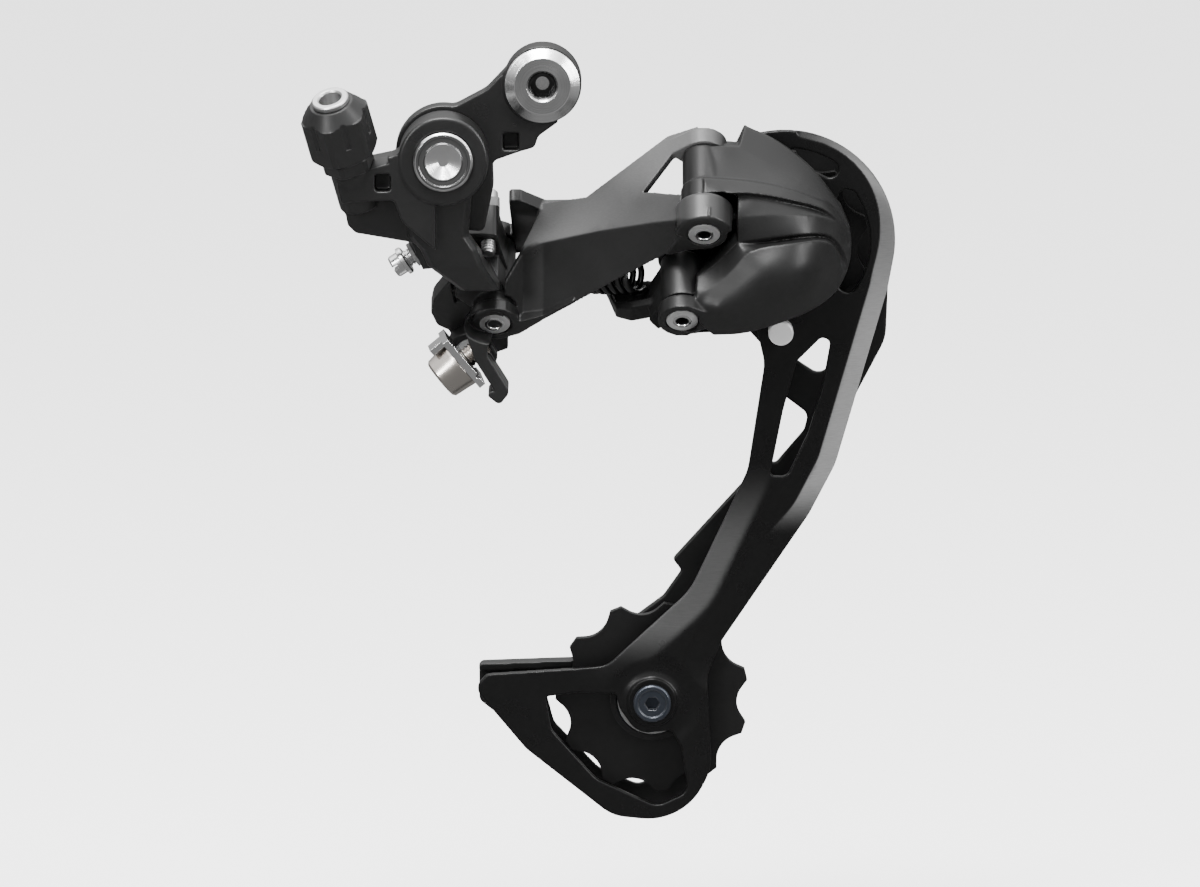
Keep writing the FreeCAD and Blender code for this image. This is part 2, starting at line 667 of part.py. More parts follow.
def inner_link():
    lever = lever_frame()
    cx, cw = PIN_C
    dx, dw = PIN_D
    sections = []
    for x, top, bottom, turned_in in (
        (-9.5, 18.0, 28.4, 2.4),
        (-4.0, 17.0, 27.0, 2.4),
        (5.0, 16.5, 26.6, 2.4),
        (13.4, 17.5, 27.4, 2.4),
        (15.0, 20.0, 32.5, 2.4),
        (16.6, 24.0, 38.0, 1.0),
        (20.0, 30.0, 41.0, -0.6),
        (28.5, 35.0, 43.6, -0.6),
    ):
        line = link_line(x, PIN_C)
        near = line + 3.2
        far = line + 5.6
        lip = line + turned_in
        sections.append(
            [
                lever_point(x, far, top),
                lever_point(x, far, bottom - 1.2),
                lever_point(x, far - 1.2, bottom),
                lever_point(x, lip, bottom),
                lever_point(x, lip, bottom - 2.0),
                lever_point(x, near, bottom - 2.0),
                lever_point(x, near, top),
            ]
        )
    shapes = [tapered(sections)]
    shapes.append(cylinder(lever, 5.6, -33.2, -29.9, cx, cw))
    shapes.append(cylinder(lever, 5.6, -19.1, -16.0, cx, cw))
    cheek = [(cx - 2.0, cw + 5.2), (cx, cw - 5.2), (-8.0, link_line(-8.0, PIN_C) + 0.0), (-8.0, link_line(-8.0, PIN_C) + 5.5)]
    shapes.append(prism(rounded(cheek), -33.2, -29.9, lever))
    shapes.append(prism(rounded(cheek), -19.1, -16.0, lever))
    shapes.append(cylinder(lever, 4.8, -46.2, -33.8, dx, dw))
    root = [(dx - 4.0, dw - 2.0), (dx + 1.0, dw + 4.7), (26.0, link_line(26.0, PIN_C) + 5.4), (24.0, link_line(24.0, PIN_C) + 1.0)]
    shapes.append(prism(rounded(root), -45.8, -35.0, lever))
    body = joined(shapes)
    body = body.cut(cylinder(lever, 5.6, -29.9, -19.1, cx, cw))
    body = body.cut(cylinder(lever, size("pin_radius") + 0.02, -40.0, -8.0, cx, cw))
    body = body.cut(cylinder(lever, size("pin_head_radius") + 0.15, -34.0, -32.4, cx, cw))
    body = body.cut(cylinder(lever, size("pin_radius") + 0.85, -48.0, -30.0, dx, dw))
    solid("inner_link", body)


def pin(frame_pin, head, tail):
    """A hollow-headed pivot pin between two heights along a link pin's axis."""
    lever = lever_frame()
    radius = size("pin_radius")
    shape = cylinder(lever, radius, -head, -tail, *frame_pin)
    flange = cylinder(lever, size("pin_head_radius"), -head, -head + 0.7, *frame_pin)
    dish = cylinder(lever, 2.0, -head - 0.1, -head + 0.25, *frame_pin)
    bore = cylinder(lever, 1.1, -head - 0.1, -head + 1.6, *frame_pin)
    return shape.fuse(flange).cut(dish).cut(bore)


def pivot_pins():
    solid("outer_link_pin_rear", pin(PIN_A, 36.9, 10.9))
    solid("outer_link_pin_front", pin(PIN_B, 36.9, 10.3))
    solid("inner_link_pin_rear", pin(PIN_C, 33.2, 16.1))
    solid("inner_link_pin_front", pin(PIN_D, 50.5, 30.2))
    lever = lever_frame()
    radius = size("pin_radius")
    for label, place, low, high in (
        ("outer_link_bush_rear", PIN_A, -33.6, -14.6),
        ("outer_link_bush_front", PIN_B, -33.6, -14.6),
        ("inner_link_bush_rear", PIN_C, -29.6, -19.4),
        ("inner_link_bush_front", PIN_D, -46.2, -33.8),
    ):
        outer = radius + 0.8 if label != "inner_link_bush_front" else radius + 0.85
        sleeve = cylinder(lever, outer, low, high, *place)
        solid(label, sleeve.cut(cylinder(lever, radius + FIT, low - 1.0, high + 1.0, *place)))


def return_spring():
    """An extension spring between the rear and front corners of the parallelogram."""
    start = lever_point(3.0, 39.6, 24.5)
    stop = lever_point(21.6, 28.3, 34.2)
    axis = stop.sub(start)
    length = axis.Length
    frame = along(start, axis)
    turns = 10.0
    mean = 3.7
    wire_radius = 0.75
    helix = Part.makeHelix(length / turns, length, mean)
    section = Part.Wire([Part.Circle(Vector(mean, 0, 0), Vector(0, 1, 0), wire_radius).toShape()])
    coil = Part.Wire(helix).makePipeShell([section], True, True)
    solid("return_spring", moved(coil, frame))


# Cage knuckle -----------------------------------------------------------------------------------


def cage_knuckle():
    lever = lever_frame()
    face = facing()
    x, z = CAGE_AXLE

    def level(points, y):
        return [Vector(px, y, pz) for px, pz in points]

    base = [
        (43.4, -15.4),
        (45.6, -10.6),
        (56.1, -18.4),
        (63.2, -24.6),
        (67.4, -28.6),
        (69.6, -34.0),
        (69.8, -40.0),
        (67.6, -45.6),
        (63.4, -50.4),
        (56.0, -54.4),
        (44.8, -57.0),
        (43.2, -40.0),
    ]
    shoulder = [
        (43.4, -17.4),
        (44.4, -15.0),
        (55.6, -20.6),
        (62.4, -25.4),
        (66.6, -29.0),
        (68.8, -34.0),
        (69.0, -40.0),
        (66.8, -45.4),
        (62.8, -50.0),
        (55.6, -54.0),
        (44.8, -56.8),
        (43.2, -40.0),
    ]
    ridge = [
        (43.4, -23.4),
        (44.6, -23.4),
        (55.4, -25.4),
        (62.5, -28.0),
        (66.6, -31.2),
        (68.4, -35.5),
        (68.2, -40.5),
        (66.2, -45.2),
        (62.2, -49.8),
        (55.0, -53.6),
        (44.6, -56.2),
        (43.2, -40.0),
    ]
    brow = [
        (44.2, -33.8),
        (46.0, -33.4),
        (55.0, -32.6),
        (62.0, -32.4),
        (65.6, -34.4),
        (67.0, -38.0),
        (66.4, -42.0),
        (64.4, -45.6),
        (60.2, -49.4),
        (53.4, -52.8),
        (44.6, -55.0),
        (43.2, -42.0),
    ]
    crown = [
        (47.6, -36.6),
        (49.2, -36.0),
        (56.0, -35.2),
        (61.4, -35.0),
        (63.6, -36.6),
        (64.4, -39.4),
        (63.4, -42.8),
        (60.4, -46.4),
        (56.0, -49.4),
        (50.0, -51.8),
        (45.4, -53.0),
        (44.6, -44.0),
    ]
    shell = [(base, 2.9), (base, -0.5), (shoulder, -7.0), (ridge, -16.0), (brow, -19.4), (crown, -21.8)]
    upper = tapered([level(points, y) for points, y in shell])
    chin_back = [(24.6, -50.6), (46.0, -41.0), (50.0, -56.2), (45.0, -57.0), (31.5, -57.0), (26.4, -55.6)]
    chin_front = [(27.4, -46.6), (44.6, -37.6), (50.0, -52.2), (44.4, -54.0), (32.0, -54.2), (27.4, -52.4)]
    chin = tapered([level(chin_back, -4.5), level(chin_front, -21.6)])
    bx, bw = PIN_B
    dx, dw = PIN_D
    barrel = cylinder(lever, 4.8, -33.6, -14.6, bx, bw)
    collar = cylinder(lever, 5.2, -29.2, -24.4, bx, bw)
    web = prism(rounded([(bx, bw - 4.8), (46.0, bw - 4.0), (50.0, bw + 6.0), (bx, bw + 4.8)]), -29.0, -14.6, lever)
    lug = cylinder(lever, 5.4, -50.6, -46.9, dx, dw)
    lug_root = [(dx - 4.9, dw + 2.0), (dx - 3.4, dw - 4.2), (dx + 1.5, dw - 5.2), (41.0, 23.0), (44.0, 29.0), (dx + 2.0, dw + 5.2)]
    inner_root = [(dx - 4.9, dw + 2.0), (dx - 3.0, dw - 4.6), (48.0, 13.0), (50.0, 30.0), (dx + 2.0, dw + 5.2)]
    lugs = [lug, cylinder(lever, 5.4, -33.4, -30.0, dx, dw)]
    lugs.append(prism(rounded(lug_root), -50.6, -46.9, lever))
    lugs.append(prism(rounded(inner_root), -33.4, -30.0, lever))
    body = joined([upper, chin, barrel, collar, web] + lugs)
    swept = [(dx - 14.0, dw - 8.0), (dx + 1.0, dw - 6.4), (dx + 6.2, dw), (dx + 3.0, dw + 8.0), (dx - 14.0, dw + 18.0)]
    cuts = [
        cylinder(lever, 7.6, -38.4, -33.7, bx, bw),
        prism(rounded([(20.0, -6.0), (bx + 6.8, -6.0), (bx + 6.8, 16.0), (bx - 1.0, 19.5), (20.0, 19.5)]), -46.0, -33.75, lever),
        prism(rounded([(20.0, -6.0), (bx + 3.0, -6.0), (bx + 6.0, bw), (bx, bw + 6.6), (20.0, 16.0)]), -14.5, -6.0, lever),
        prism(rounded(swept), -46.6, -33.5, lever),
        cylinder(facing(x, z), 8.6, -3.0, 8.6),
        cylinder(facing(x, z), 4.6 + FIT, -3.0, 17.4),
    ]
    for shape in cuts:
        body = body.cut(shape)
    for place, low, high, gap in ((PIN_B, -40.0, -8.0, 0.8), (PIN_D, -52.0, -28.0, 0.02)):
        body = body.cut(cylinder(lever, size("pin_radius") + gap, low, high, *place))
    body = body.cut(cylinder(lever, size("pin_head_radius") + 0.15, -52.0, -49.8, dx, dw))
    body = max(body.Solids, key=lambda item: item.Volume)
    solid("cage_knuckle", body)


def cage_pivot():
    x, z = CAGE_AXLE
    frame = facing(x, z)
    profile = [(0, -6.6), (3.4, -6.6), (3.8, -6.2), (3.8, -4.46), (6.4, -4.46), (6.4, -3.3), (4.6, -3.1), (4.6, 16.9), (4.2, 17.3), (0, 17.3)]
    turned("cage_axle", frame, profile)
    seal = cylinder(frame, 10.4, -4.3, -3.0).cut(cylinder(frame, 6.6, -5.0, -2.0))
    solid("cage_seal_ring", seal)
    helix = Part.makeHelix(2.3, 9.2, 7.0)
    section = Part.Wire([Part.Circle(Vector(7.0, 0, 0), Vector(0, 1, 0), 0.9).toShape()])
    coil = Part.Wire(helix).makePipeShell([section], True, True)
    coil.translate(Vector(0, 0, -1.7))
    solid("cage_spring", moved(coil, frame))


# Cage -------------------------------------------------------------------------------------------

PLATE_BACK = -(size("cage_front") + size("cage_plate"))
PULLEY_MIDDLE = PLATE_BACK - size("cage_gap") / 2
INNER_FRONT = PLATE_BACK - size("cage_gap")


def outer_cage_plate():
    body = new_body("outer_cage_plate", facing())
    outline = [
        (44.6, -13.8, 2.0),
        (63.25, -10.5, 25.2),
        (82.0, -29.25, 25.2),
        (78.3, -48.8, 6.0),
        (66.6, -89.5, 14.0),
        (60.6, -101.2, 20.0),
        (40.6, -131.0, 5.0),
        (37.4, -139.0, 6.0),
        (38.6, -160.5, 12.0),
        (32.0, -173.2, 14.0),
        (15.8, -171.6, 10.0),
        (-4.0, -155.8, 8.0),
        (-15.8, -141.6, 2.6),
        (-13.0, -138.4, 1.6),
        (14.5, -136.6, 6.0),
        (33.5, -119.0, 16.0),
        (46.6, -91.0, 12.0),
        (50.4, -66.0, 10.0),
        (47.6, -54.0, 4.0),
    ]
    window = [
        (65.4, -60.6, 1.4),
        (63.2, -60.0, 1.2),
        (57.6, -65.6, 2.0),
        (54.6, -77.0, 6.0),
        (51.6, -92.2, 1.0),
        (55.6, -92.2, 2.0),
        (60.4, -82.0, 4.0),
        (63.6, -71.0, 4.0),
    ]
    opening = [
        (8.0, -142.6, 3.0),
        (0.4, -143.6, 0.8),
        (1.8, -151.4, 4.0),
        (12.0, -162.9, 6.0),
        (26.0, -169.4, 4.0),
        (33.2, -166.0, 3.0),
        (31.6, -155.4, 1.5),
        (29.4, -151.6, 1.0),
        (21.6, -152.4, 5.0),
        (17.4, -146.4, 4.0),
        (16.6, -142.9, 1.0),
    ]
    outlines = [rounded(outline), rounded(window), rounded(opening)]
    outlines.append(circle(*CAGE_AXLE, 3.82))
    outlines.append(circle(*STOP_PIN, 2.02))
    outlines.append(circle(*GUIDE, 2.55))
    outlines.append(circle(*TENSION, 2.55))
    outlines.append(arc_slot(54.6, -37.9, 19.6, 2.0, 58.0, 82.0))
    outlines.append(arc_slot(54.6, -37.9, 17.4, 2.3, -33.0, 34.0))
    pad(body, outlines, "Sizes.cage_plate", PLATE_BACK)
    pad(body, [circle(*TENSION, 5.6), circle(*TENSION, 2.55)], 0.7, PLATE_BACK + size("cage_plate"))


def cage_stop_pin():
    profile = [(0, -6.4), (2.0, -6.4), (2.0, -4.5), (2.85, -4.5), (2.85, -1.3), (2.5, -0.9), (0, -0.9)]
    turned("cage_stop_pin", facing(*STOP_PIN), profile)


def inner_cage_plate():
    body = new_body("inner_cage_plate", facing())
    outline = [
        (40.0, -19.5, 8.0),
        (54.0, -13.6, 18.0),
        (72.0, -22.0, 14.0),
        (79.0, -40.0, 16.0),
        (78.2, -62.0, 10.0),
        (70.4, -77.0, 6.0),
        (66.0, -93.0, 10.0),
        (54.0, -109.0, 6.0),
        (39.0, -131.0, 6.0),
        (36.5, -142.0, 6.0),
        (37.6, -160.0, 12.0),
        (32.0, -173.0, 14.0),
        (16.0, -171.0, 10.0),
        (-3.0, -156.0, 8.0),
        (-14.8, -146.5, 2.0),
        (-14.8, -137.4, 1.2),
        (8.0, -136.6, 4.0),
        (27.5, -122.0, 2.0),
        (31.6, -116.1, 0.8),
        (29.6, -113.4, 0.8),
        (45.6, -95.6, 2.0),
        (52.0, -84.0, 6.0),
        (50.4, -64.0, 5.0),
        (44.0, -57.0, 6.0),
        (33.0, -50.0, 8.0),
        (31.0, -32.0, 12.0),
    ]
    upper_window = [
        (67.0, -57.6, 1.6),
        (69.4, -60.4, 1.0),
        (63.8, -71.0, 2.6),
        (57.6, -66.9, 0.6),
        (60.0, -63.6, 0.8),
    ]
    lower_window = [
        (54.0, -74.6, 1.0),
        (60.6, -79.6, 2.4),
        (59.6, -83.4, 1.6),
        (53.0, -91.2, 1.0),
        (50.8, -90.0, 1.0),
    ]
    opening = [
        (8.0, -143.0, 3.0),
        (0.4, -144.4, 0.8),
        (2.4, -151.8, 4.0),
        (12.6, -162.6, 6.0),
        (25.0, -168.0, 3.0),
        (24.4, -158.6, 3.0),
        (14.4, -154.0, 4.0),
        (12.2, -145.0, 2.5),
    ]
    outlines = [rounded(outline), rounded(upper_window), rounded(lower_window), rounded(opening)]
    outlines.append(circle(*GUIDE, 2.55))
    outlines.append(circle(*TENSION, 2.55))
    pad(body, outlines, "Sizes.inner_plate", INNER_FRONT - size("inner_plate"))
    lip = [(-14.8, -139.2), (-14.8, -137.5), (7.4, -136.6), (7.4, -138.3)]
    pad(body, [rounded(lip)], 2.6, INNER_FRONT)


def pulley_outline(teeth, pitch, turn):
    """Scalloped rim: a rounded gullet for each roller between flat-topped teeth."""
    pitch_radius = pitch / 2 / math.sin(math.pi / teeth)
    tip = pitch_radius - 0.35
    gullet = pitch_radius - 3.1
    edges = []
    step = 2 * math.pi / teeth
    half_tooth = 0.06

    def at(radius, angle):
        return Vector(radius * math.cos(angle), radius * math.sin(angle), 0)

    for index in range(teeth):
        middle = index * step + math.radians(turn)
        start = at(tip, middle - half_tooth)
        stop = at(tip, middle + half_tooth)
        following = at(tip, middle + step - half_tooth)
        low = at(gullet, middle + step / 2)
        left = at(gullet + 1.1, middle + step / 2 - 0.15)
        right = at(gullet + 1.1, middle + step / 2 + 0.15)
        edges.append(Part.LineSegment(start, stop))
        edges.append(Part.LineSegment(stop, left))
        edges.append(Part.Arc(left, low, right))
        edges.append(Part.LineSegment(right, following))
    return edges


def pulley(name, place):
    teeth = int(size("pulley_teeth"))
    thick = size("pulley_plate")
    middle = PULLEY_MIDDLE
    x, z = place
    frame = facing(x, z)
    body = new_body(f"{name}_pulley", frame)
    rim = pulley_outline(teeth, size("chain_pitch"), 14.0)
    pad(body, [rim, circle(0, 0, size("bush_radius") + 1.2)], "Sizes.tooth_width", middle - thick / 2)
    hub = [circle(0, 0, 9.6), circle(0, 0, size("bush_radius") + FIT)]
    pad(body, hub, 5.6, middle - 2.8)
    pocket(body, [circle(0, 0, 8.3), circle(0, 0, 5.6)], 1.5, middle + 2.8)
    lower = body.newObject("PartDesign::Pocket", f"{name}_pulley_back")
    lower.Profile = sketch(body, [circle(0, 0, 8.3), circle(0, 0, 5.6)], middle - 2.8)
    lower.Length = 1.5
    lower.Reversed = True
    bore = size("pulley_bolt_radius")
    half_gap = size("cage_gap") / 2
    bush = cylinder(frame, size("bush_radius"), middle - half_gap + 0.15, middle + half_gap - 0.15)
    solid(f"{name}_pulley_bush", bush.cut(cylinder(frame, bore + 0.02, middle - 6, middle + 6)))
    for side, sign in (("outer", 1.0), ("inner", -1.0)):
        near = middle + sign * 1.65
        far = middle + sign * (half_gap - 0.2)
        low, high = sorted((near, far))
        cap = cylinder(frame, 7.95, low, high).cut(cylinder(frame, size("bush_radius") + FIT, low - 1, high + 1))
        hollow_low, hollow_high = sorted((middle + sign * 1.0, far - sign * 0.8))
        cap = cap.cut(cylinder(frame, 7.3, hollow_low, hollow_high).cut(cylinder(frame, 5.95, -40, 40)))
        cap = cap.cut(cylinder(frame, 5.95, *sorted((middle + sign * 1.0, middle + sign * 3.1))))
        solid(f"{name}_pulley_{side}_cap", cap)
    pulley_bolt(name, frame)


def pulley_bolt(name, frame):
    """The guide pulley's bolt has its head on the inner plate; the tension pulley's has it outboard."""
    bore = size("pulley_bolt_radius")
    back = INNER_FRONT - size("inner_plate")
    front = PLATE_BACK + size("cage_plate")
    if name == "guide":
        profile = [(0, back - 2.2), (4.2, back - 2.2), (4.6, back - 1.8), (4.6, back), (bore, back)]
        profile += [(bore, front - 0.5), (bore - 0.5, front), (0, front)]
        bolt = turned("guide_pulley_bolt", frame, profile)
        recess = bolt.newObject("PartDesign::Pocket", "guide_pulley_bolt_recess")
        recess.Profile = sketch(bolt, [polygon(6, 3.0)], back - 2.2)
        recess.Length = 1.8
        recess.Reversed = True
        return
    seat = front + 0.7
    profile = [(0, back - 1.0), (bore - 0.5, back - 1.0), (bore, back - 0.5), (bore, seat)]
    profile += [(4.3, seat), (4.3, seat + 1.3), (4.0, seat + 1.6), (3.3, seat + 1.6), (3.1, seat + 1.3), (0, seat + 1.3)]
    bolt = turned("tension_pulley_bolt", frame, profile)
    pocket(bolt, [polygon(6, 3.0)], 1.8, seat + 1.3)


hanger_bolt()
hanger_bolt_ring()
bracket_link()
upper_axle()
bracket_knuckle()
tension_screw()
adjuster()
limit_screws()
outer_link()
cable_clamp()
inner_link()
pivot_pins()
return_spring()
cage_knuckle()
cage_pivot()
outer_cage_plate()
cage_stop_pin()
inner_cage_plate()
pulley("guide", GUIDE)
pulley("tension", TENSION)

# The sections above are drawn from the hanger's outboard face; the origin is the middle of the
# hanger bolt's thread.
to_origin = FreeCAD.Placement(Vector(0, -size("hanger_thread_middle"), 0), FreeCAD.Rotation())
for item in nodes:
    item.Placement = to_origin.multiply(item.Placement)

doc.recompute()

for item in doc.Objects:
    if "Invalid" in item.State or "Error" in item.State:
        raise RuntimeError(f"{item.Label} is {item.State}")

os.makedirs("parts", exist_ok=True)
for item in nodes:
    if item.Shape.isNull() or not item.Shape.isValid():
        raise RuntimeError(f"{item.Label} has no valid shape")
    if not item.Shape.Solids:
        raise RuntimeError(f"{item.Label} has no solid")
    item.Shape.exportStep(f"parts/{item.Label}.step")
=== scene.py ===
"""The looks of the rear derailleur: materials, finished castings and plates, camera, floor and light."""

import json
import math

import bmesh
import bpy
import numpy as np
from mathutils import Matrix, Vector
from mathutils.geometry import delaunay_2d_cdt

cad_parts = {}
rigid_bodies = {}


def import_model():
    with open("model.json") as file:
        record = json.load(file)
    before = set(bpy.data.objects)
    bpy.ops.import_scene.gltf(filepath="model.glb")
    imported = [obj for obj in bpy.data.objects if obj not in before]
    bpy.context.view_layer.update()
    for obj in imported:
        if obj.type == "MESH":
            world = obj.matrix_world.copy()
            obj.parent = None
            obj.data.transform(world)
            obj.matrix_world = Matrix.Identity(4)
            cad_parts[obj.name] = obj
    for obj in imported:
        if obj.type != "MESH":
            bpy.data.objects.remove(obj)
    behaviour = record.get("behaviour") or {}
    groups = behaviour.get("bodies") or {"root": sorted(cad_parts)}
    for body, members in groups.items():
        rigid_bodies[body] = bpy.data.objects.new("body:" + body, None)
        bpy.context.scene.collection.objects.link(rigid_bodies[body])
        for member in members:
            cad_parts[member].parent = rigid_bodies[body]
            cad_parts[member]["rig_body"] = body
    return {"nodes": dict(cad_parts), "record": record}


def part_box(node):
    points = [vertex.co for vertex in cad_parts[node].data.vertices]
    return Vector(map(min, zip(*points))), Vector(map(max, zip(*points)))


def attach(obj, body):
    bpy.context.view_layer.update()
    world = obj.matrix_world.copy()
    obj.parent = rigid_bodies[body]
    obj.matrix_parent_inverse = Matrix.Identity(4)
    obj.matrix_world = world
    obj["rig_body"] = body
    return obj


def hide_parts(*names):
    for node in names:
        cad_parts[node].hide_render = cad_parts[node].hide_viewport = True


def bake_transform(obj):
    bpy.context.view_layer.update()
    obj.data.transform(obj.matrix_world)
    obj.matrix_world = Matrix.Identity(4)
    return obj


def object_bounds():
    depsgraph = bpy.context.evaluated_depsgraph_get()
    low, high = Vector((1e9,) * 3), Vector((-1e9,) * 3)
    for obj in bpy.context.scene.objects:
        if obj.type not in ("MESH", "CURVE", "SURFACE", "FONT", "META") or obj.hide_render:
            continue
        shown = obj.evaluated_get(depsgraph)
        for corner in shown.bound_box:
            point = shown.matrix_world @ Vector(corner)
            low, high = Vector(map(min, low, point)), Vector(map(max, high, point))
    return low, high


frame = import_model()
cad_low, cad_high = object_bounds()
nodes = frame["nodes"]
MM = 0.001
VIEW_TILT = math.radians(11.0)  # how far the camera looks down
SEAT_FACE = -5.2  # y in mm of the face that seats on the hanger, which the depths below are counted from
VIEW_ZERO = 10.5  # mm outside that face at z = 0, where the heights as seen are counted from


# Materials --------------------------------------------------------------------------------------


def add(tree, kind, inputs=None, **properties):
    """A shader node with its properties set, and its inputs set or linked."""
    made = tree.nodes.new(kind)
    for name, value in properties.items():
        setattr(made, name, value)
    for name, value in (inputs or {}).items():
        if isinstance(value, bpy.types.NodeSocket):
            tree.links.new(value, made.inputs[name])
        else:
            made.inputs[name].default_value = value
    return made


def grey(value, warm=0.0):
    """A neutral colour, a little warmer where warm is above 0."""
    return (value * (1 + warm), value, value * (1 - warm), 1.0)


def edge_mask(tree, radius):
    """1 on an edge within radius, 0 on a flat face, with the rounded normal."""
    bevel = add(tree, "ShaderNodeBevel", {"Radius": radius}, samples=6)
    flat = add(tree, "ShaderNodeNewGeometry")
    dot = add(tree, "ShaderNodeVectorMath", operation="DOT_PRODUCT")
    tree.links.new(bevel.outputs["Normal"], dot.inputs[0])
    tree.links.new(flat.outputs["Normal"], dot.inputs[1])
    mask = add(
        tree,
        "ShaderNodeMapRange",
        {"Value": dot.outputs["Value"], "From Min": 0.995, "From Max": 0.86, "To Min": 0.0, "To Max": 1.0},
    )
    return bevel.outputs["Normal"], mask.outputs["Result"]


def surface(
    name,
    colour,
    metallic,
    roughness,
    grain=1400.0,
    depth=0.000012,
    spread=0.06,
    worn=0.0,
    bright=None,
    bevel=0.00022,
    specular=0.5,
):
    """A finish with fine grain, uneven roughness and edges that are rounded and a little worn."""
    material = bpy.data.materials.new(name)
    material.use_nodes = True
    tree = material.node_tree
    shader = tree.nodes["Principled BSDF"]
    place = add(tree, "ShaderNodeTexCoord").outputs["Object"]
    normal, edge = edge_mask(tree, bevel)
    fine = add(tree, "ShaderNodeTexNoise", {"Vector": place, "Scale": grain, "Detail": 3.0, "Roughness": 0.6})
    broad = add(
        tree, "ShaderNodeTexNoise", {"Vector": place, "Scale": 120.0, "Detail": 4.0, "Roughness": 0.55}
    )
    bump = add(
        tree,
        "ShaderNodeBump",
        {"Height": fine.outputs["Fac"], "Distance": depth, "Strength": 1.0, "Normal": normal},
    )
    rough = add(
        tree,
        "ShaderNodeMapRange",
        {
            "Value": broad.outputs["Fac"],
            "From Min": 0.3,
            "From Max": 0.7,
            "To Min": roughness - spread,
            "To Max": roughness + spread,
        },
    )
    patchy = add(tree, "ShaderNodeMath", {0: edge, 1: broad.outputs["Fac"]}, operation="MULTIPLY")
    wear = add(tree, "ShaderNodeMath", {0: patchy.outputs["Value"], 1: worn}, operation="MULTIPLY")
    shade = add(tree, "ShaderNodeMix", data_type="RGBA")
    shade.inputs["A"].default_value = colour
    shade.inputs["B"].default_value = bright or colour
    tree.links.new(wear.outputs["Value"], shade.inputs["Factor"])
    tree.links.new(shade.outputs["Result"], shader.inputs["Base Color"])
    tree.links.new(rough.outputs["Result"], shader.inputs["Roughness"])
    tree.links.new(bump.outputs["Normal"], shader.inputs["Normal"])
    shader.inputs["Metallic"].default_value = metallic
    shader.inputs["Specular IOR Level"].default_value = specular
    return material


TURNED_REACH = 10.0  # mm, the largest radius that the colour bands can reach


def turned(name, colour, roughness, centre, pitch, depth, bands):
    """Bare metal turned on a lathe: rings round an axis along Y.

    Each band gives its outer radius in mm and the share of the colour that it keeps."""
    material = surface(name, colour, 1.0, roughness, bevel=0.00012)
    tree = material.node_tree
    shader = tree.nodes["Principled BSDF"]
    place = add(tree, "ShaderNodeTexCoord").outputs["Object"]
    offset = add(tree, "ShaderNodeVectorMath", operation="SUBTRACT")
    tree.links.new(place, offset.inputs[0])
    offset.inputs[1].default_value = centre
    level = add(tree, "ShaderNodeVectorMath", operation="MULTIPLY")
    tree.links.new(offset.outputs["Vector"], level.inputs[0])
    level.inputs[1].default_value = (1.0, 0.0, 1.0)
    radius = add(tree, "ShaderNodeVectorMath", operation="LENGTH")
    tree.links.new(level.outputs["Vector"], radius.inputs[0])
    turns = {0: radius.outputs["Value"], 1: 2 * math.pi / pitch}
    rings = add(tree, "ShaderNodeMath", turns, operation="MULTIPLY")
    wave = add(tree, "ShaderNodeMath", {0: rings.outputs["Value"]}, operation="SINE")
    uneven = add(
        tree, "ShaderNodeTexNoise", {"W": 0.0, "Scale": 5200.0, "Detail": 2.0}, noise_dimensions="1D"
    )
    tree.links.new(radius.outputs["Value"], uneven.inputs["W"])
    rings_cut = {0: wave.outputs["Value"], 1: uneven.outputs["Fac"]}
    height = add(tree, "ShaderNodeMath", rings_cut, operation="MULTIPLY")
    old = shader.inputs["Normal"].links[0].from_node
    lathe = add(
        tree,
        "ShaderNodeBump",
        {"Height": height.outputs["Value"], "Distance": depth, "Normal": old.outputs["Normal"]},
    )
    tree.links.new(lathe.outputs["Normal"], shader.inputs["Normal"])
    shade = add(tree, "ShaderNodeMix", data_type="RGBA")
    shade.inputs["A"].default_value = tuple(c * 0.75 for c in colour[:3]) + (1.0,)
    shade.inputs["B"].default_value = colour
    tree.links.new(uneven.outputs["Fac"], shade.inputs["Factor"])
    per_metre = 1.0 / (TURNED_REACH * MM)
    share = add(tree, "ShaderNodeMath", {0: radius.outputs["Value"], 1: per_metre}, operation="MULTIPLY")
    steps = add(tree, "ShaderNodeValToRGB", {"Fac": share.outputs["Value"]})
    steps.color_ramp.interpolation = "CONSTANT"
    start = 0.0
    for index, (outer, strength) in enumerate(bands):
        stop = steps.color_ramp.elements[0] if index == 0 else steps.color_ramp.elements.new(start)
        stop.position = start
        stop.color = grey(strength)
        start = outer / TURNED_REACH
    while len(steps.color_ramp.elements) > len(bands):
        steps.color_ramp.elements.remove(steps.color_ramp.elements[-1])
    tint = add(tree, "ShaderNodeMix", data_type="RGBA", blend_type="MULTIPLY")
    tint.inputs["Factor"].default_value = 1.0
    tree.links.new(shade.outputs["Result"], tint.inputs["A"])
    tree.links.new(steps.outputs["Color"], tint.inputs["B"])
    tree.links.new(tint.outputs["Result"], shader.inputs["Base Color"])
    return material


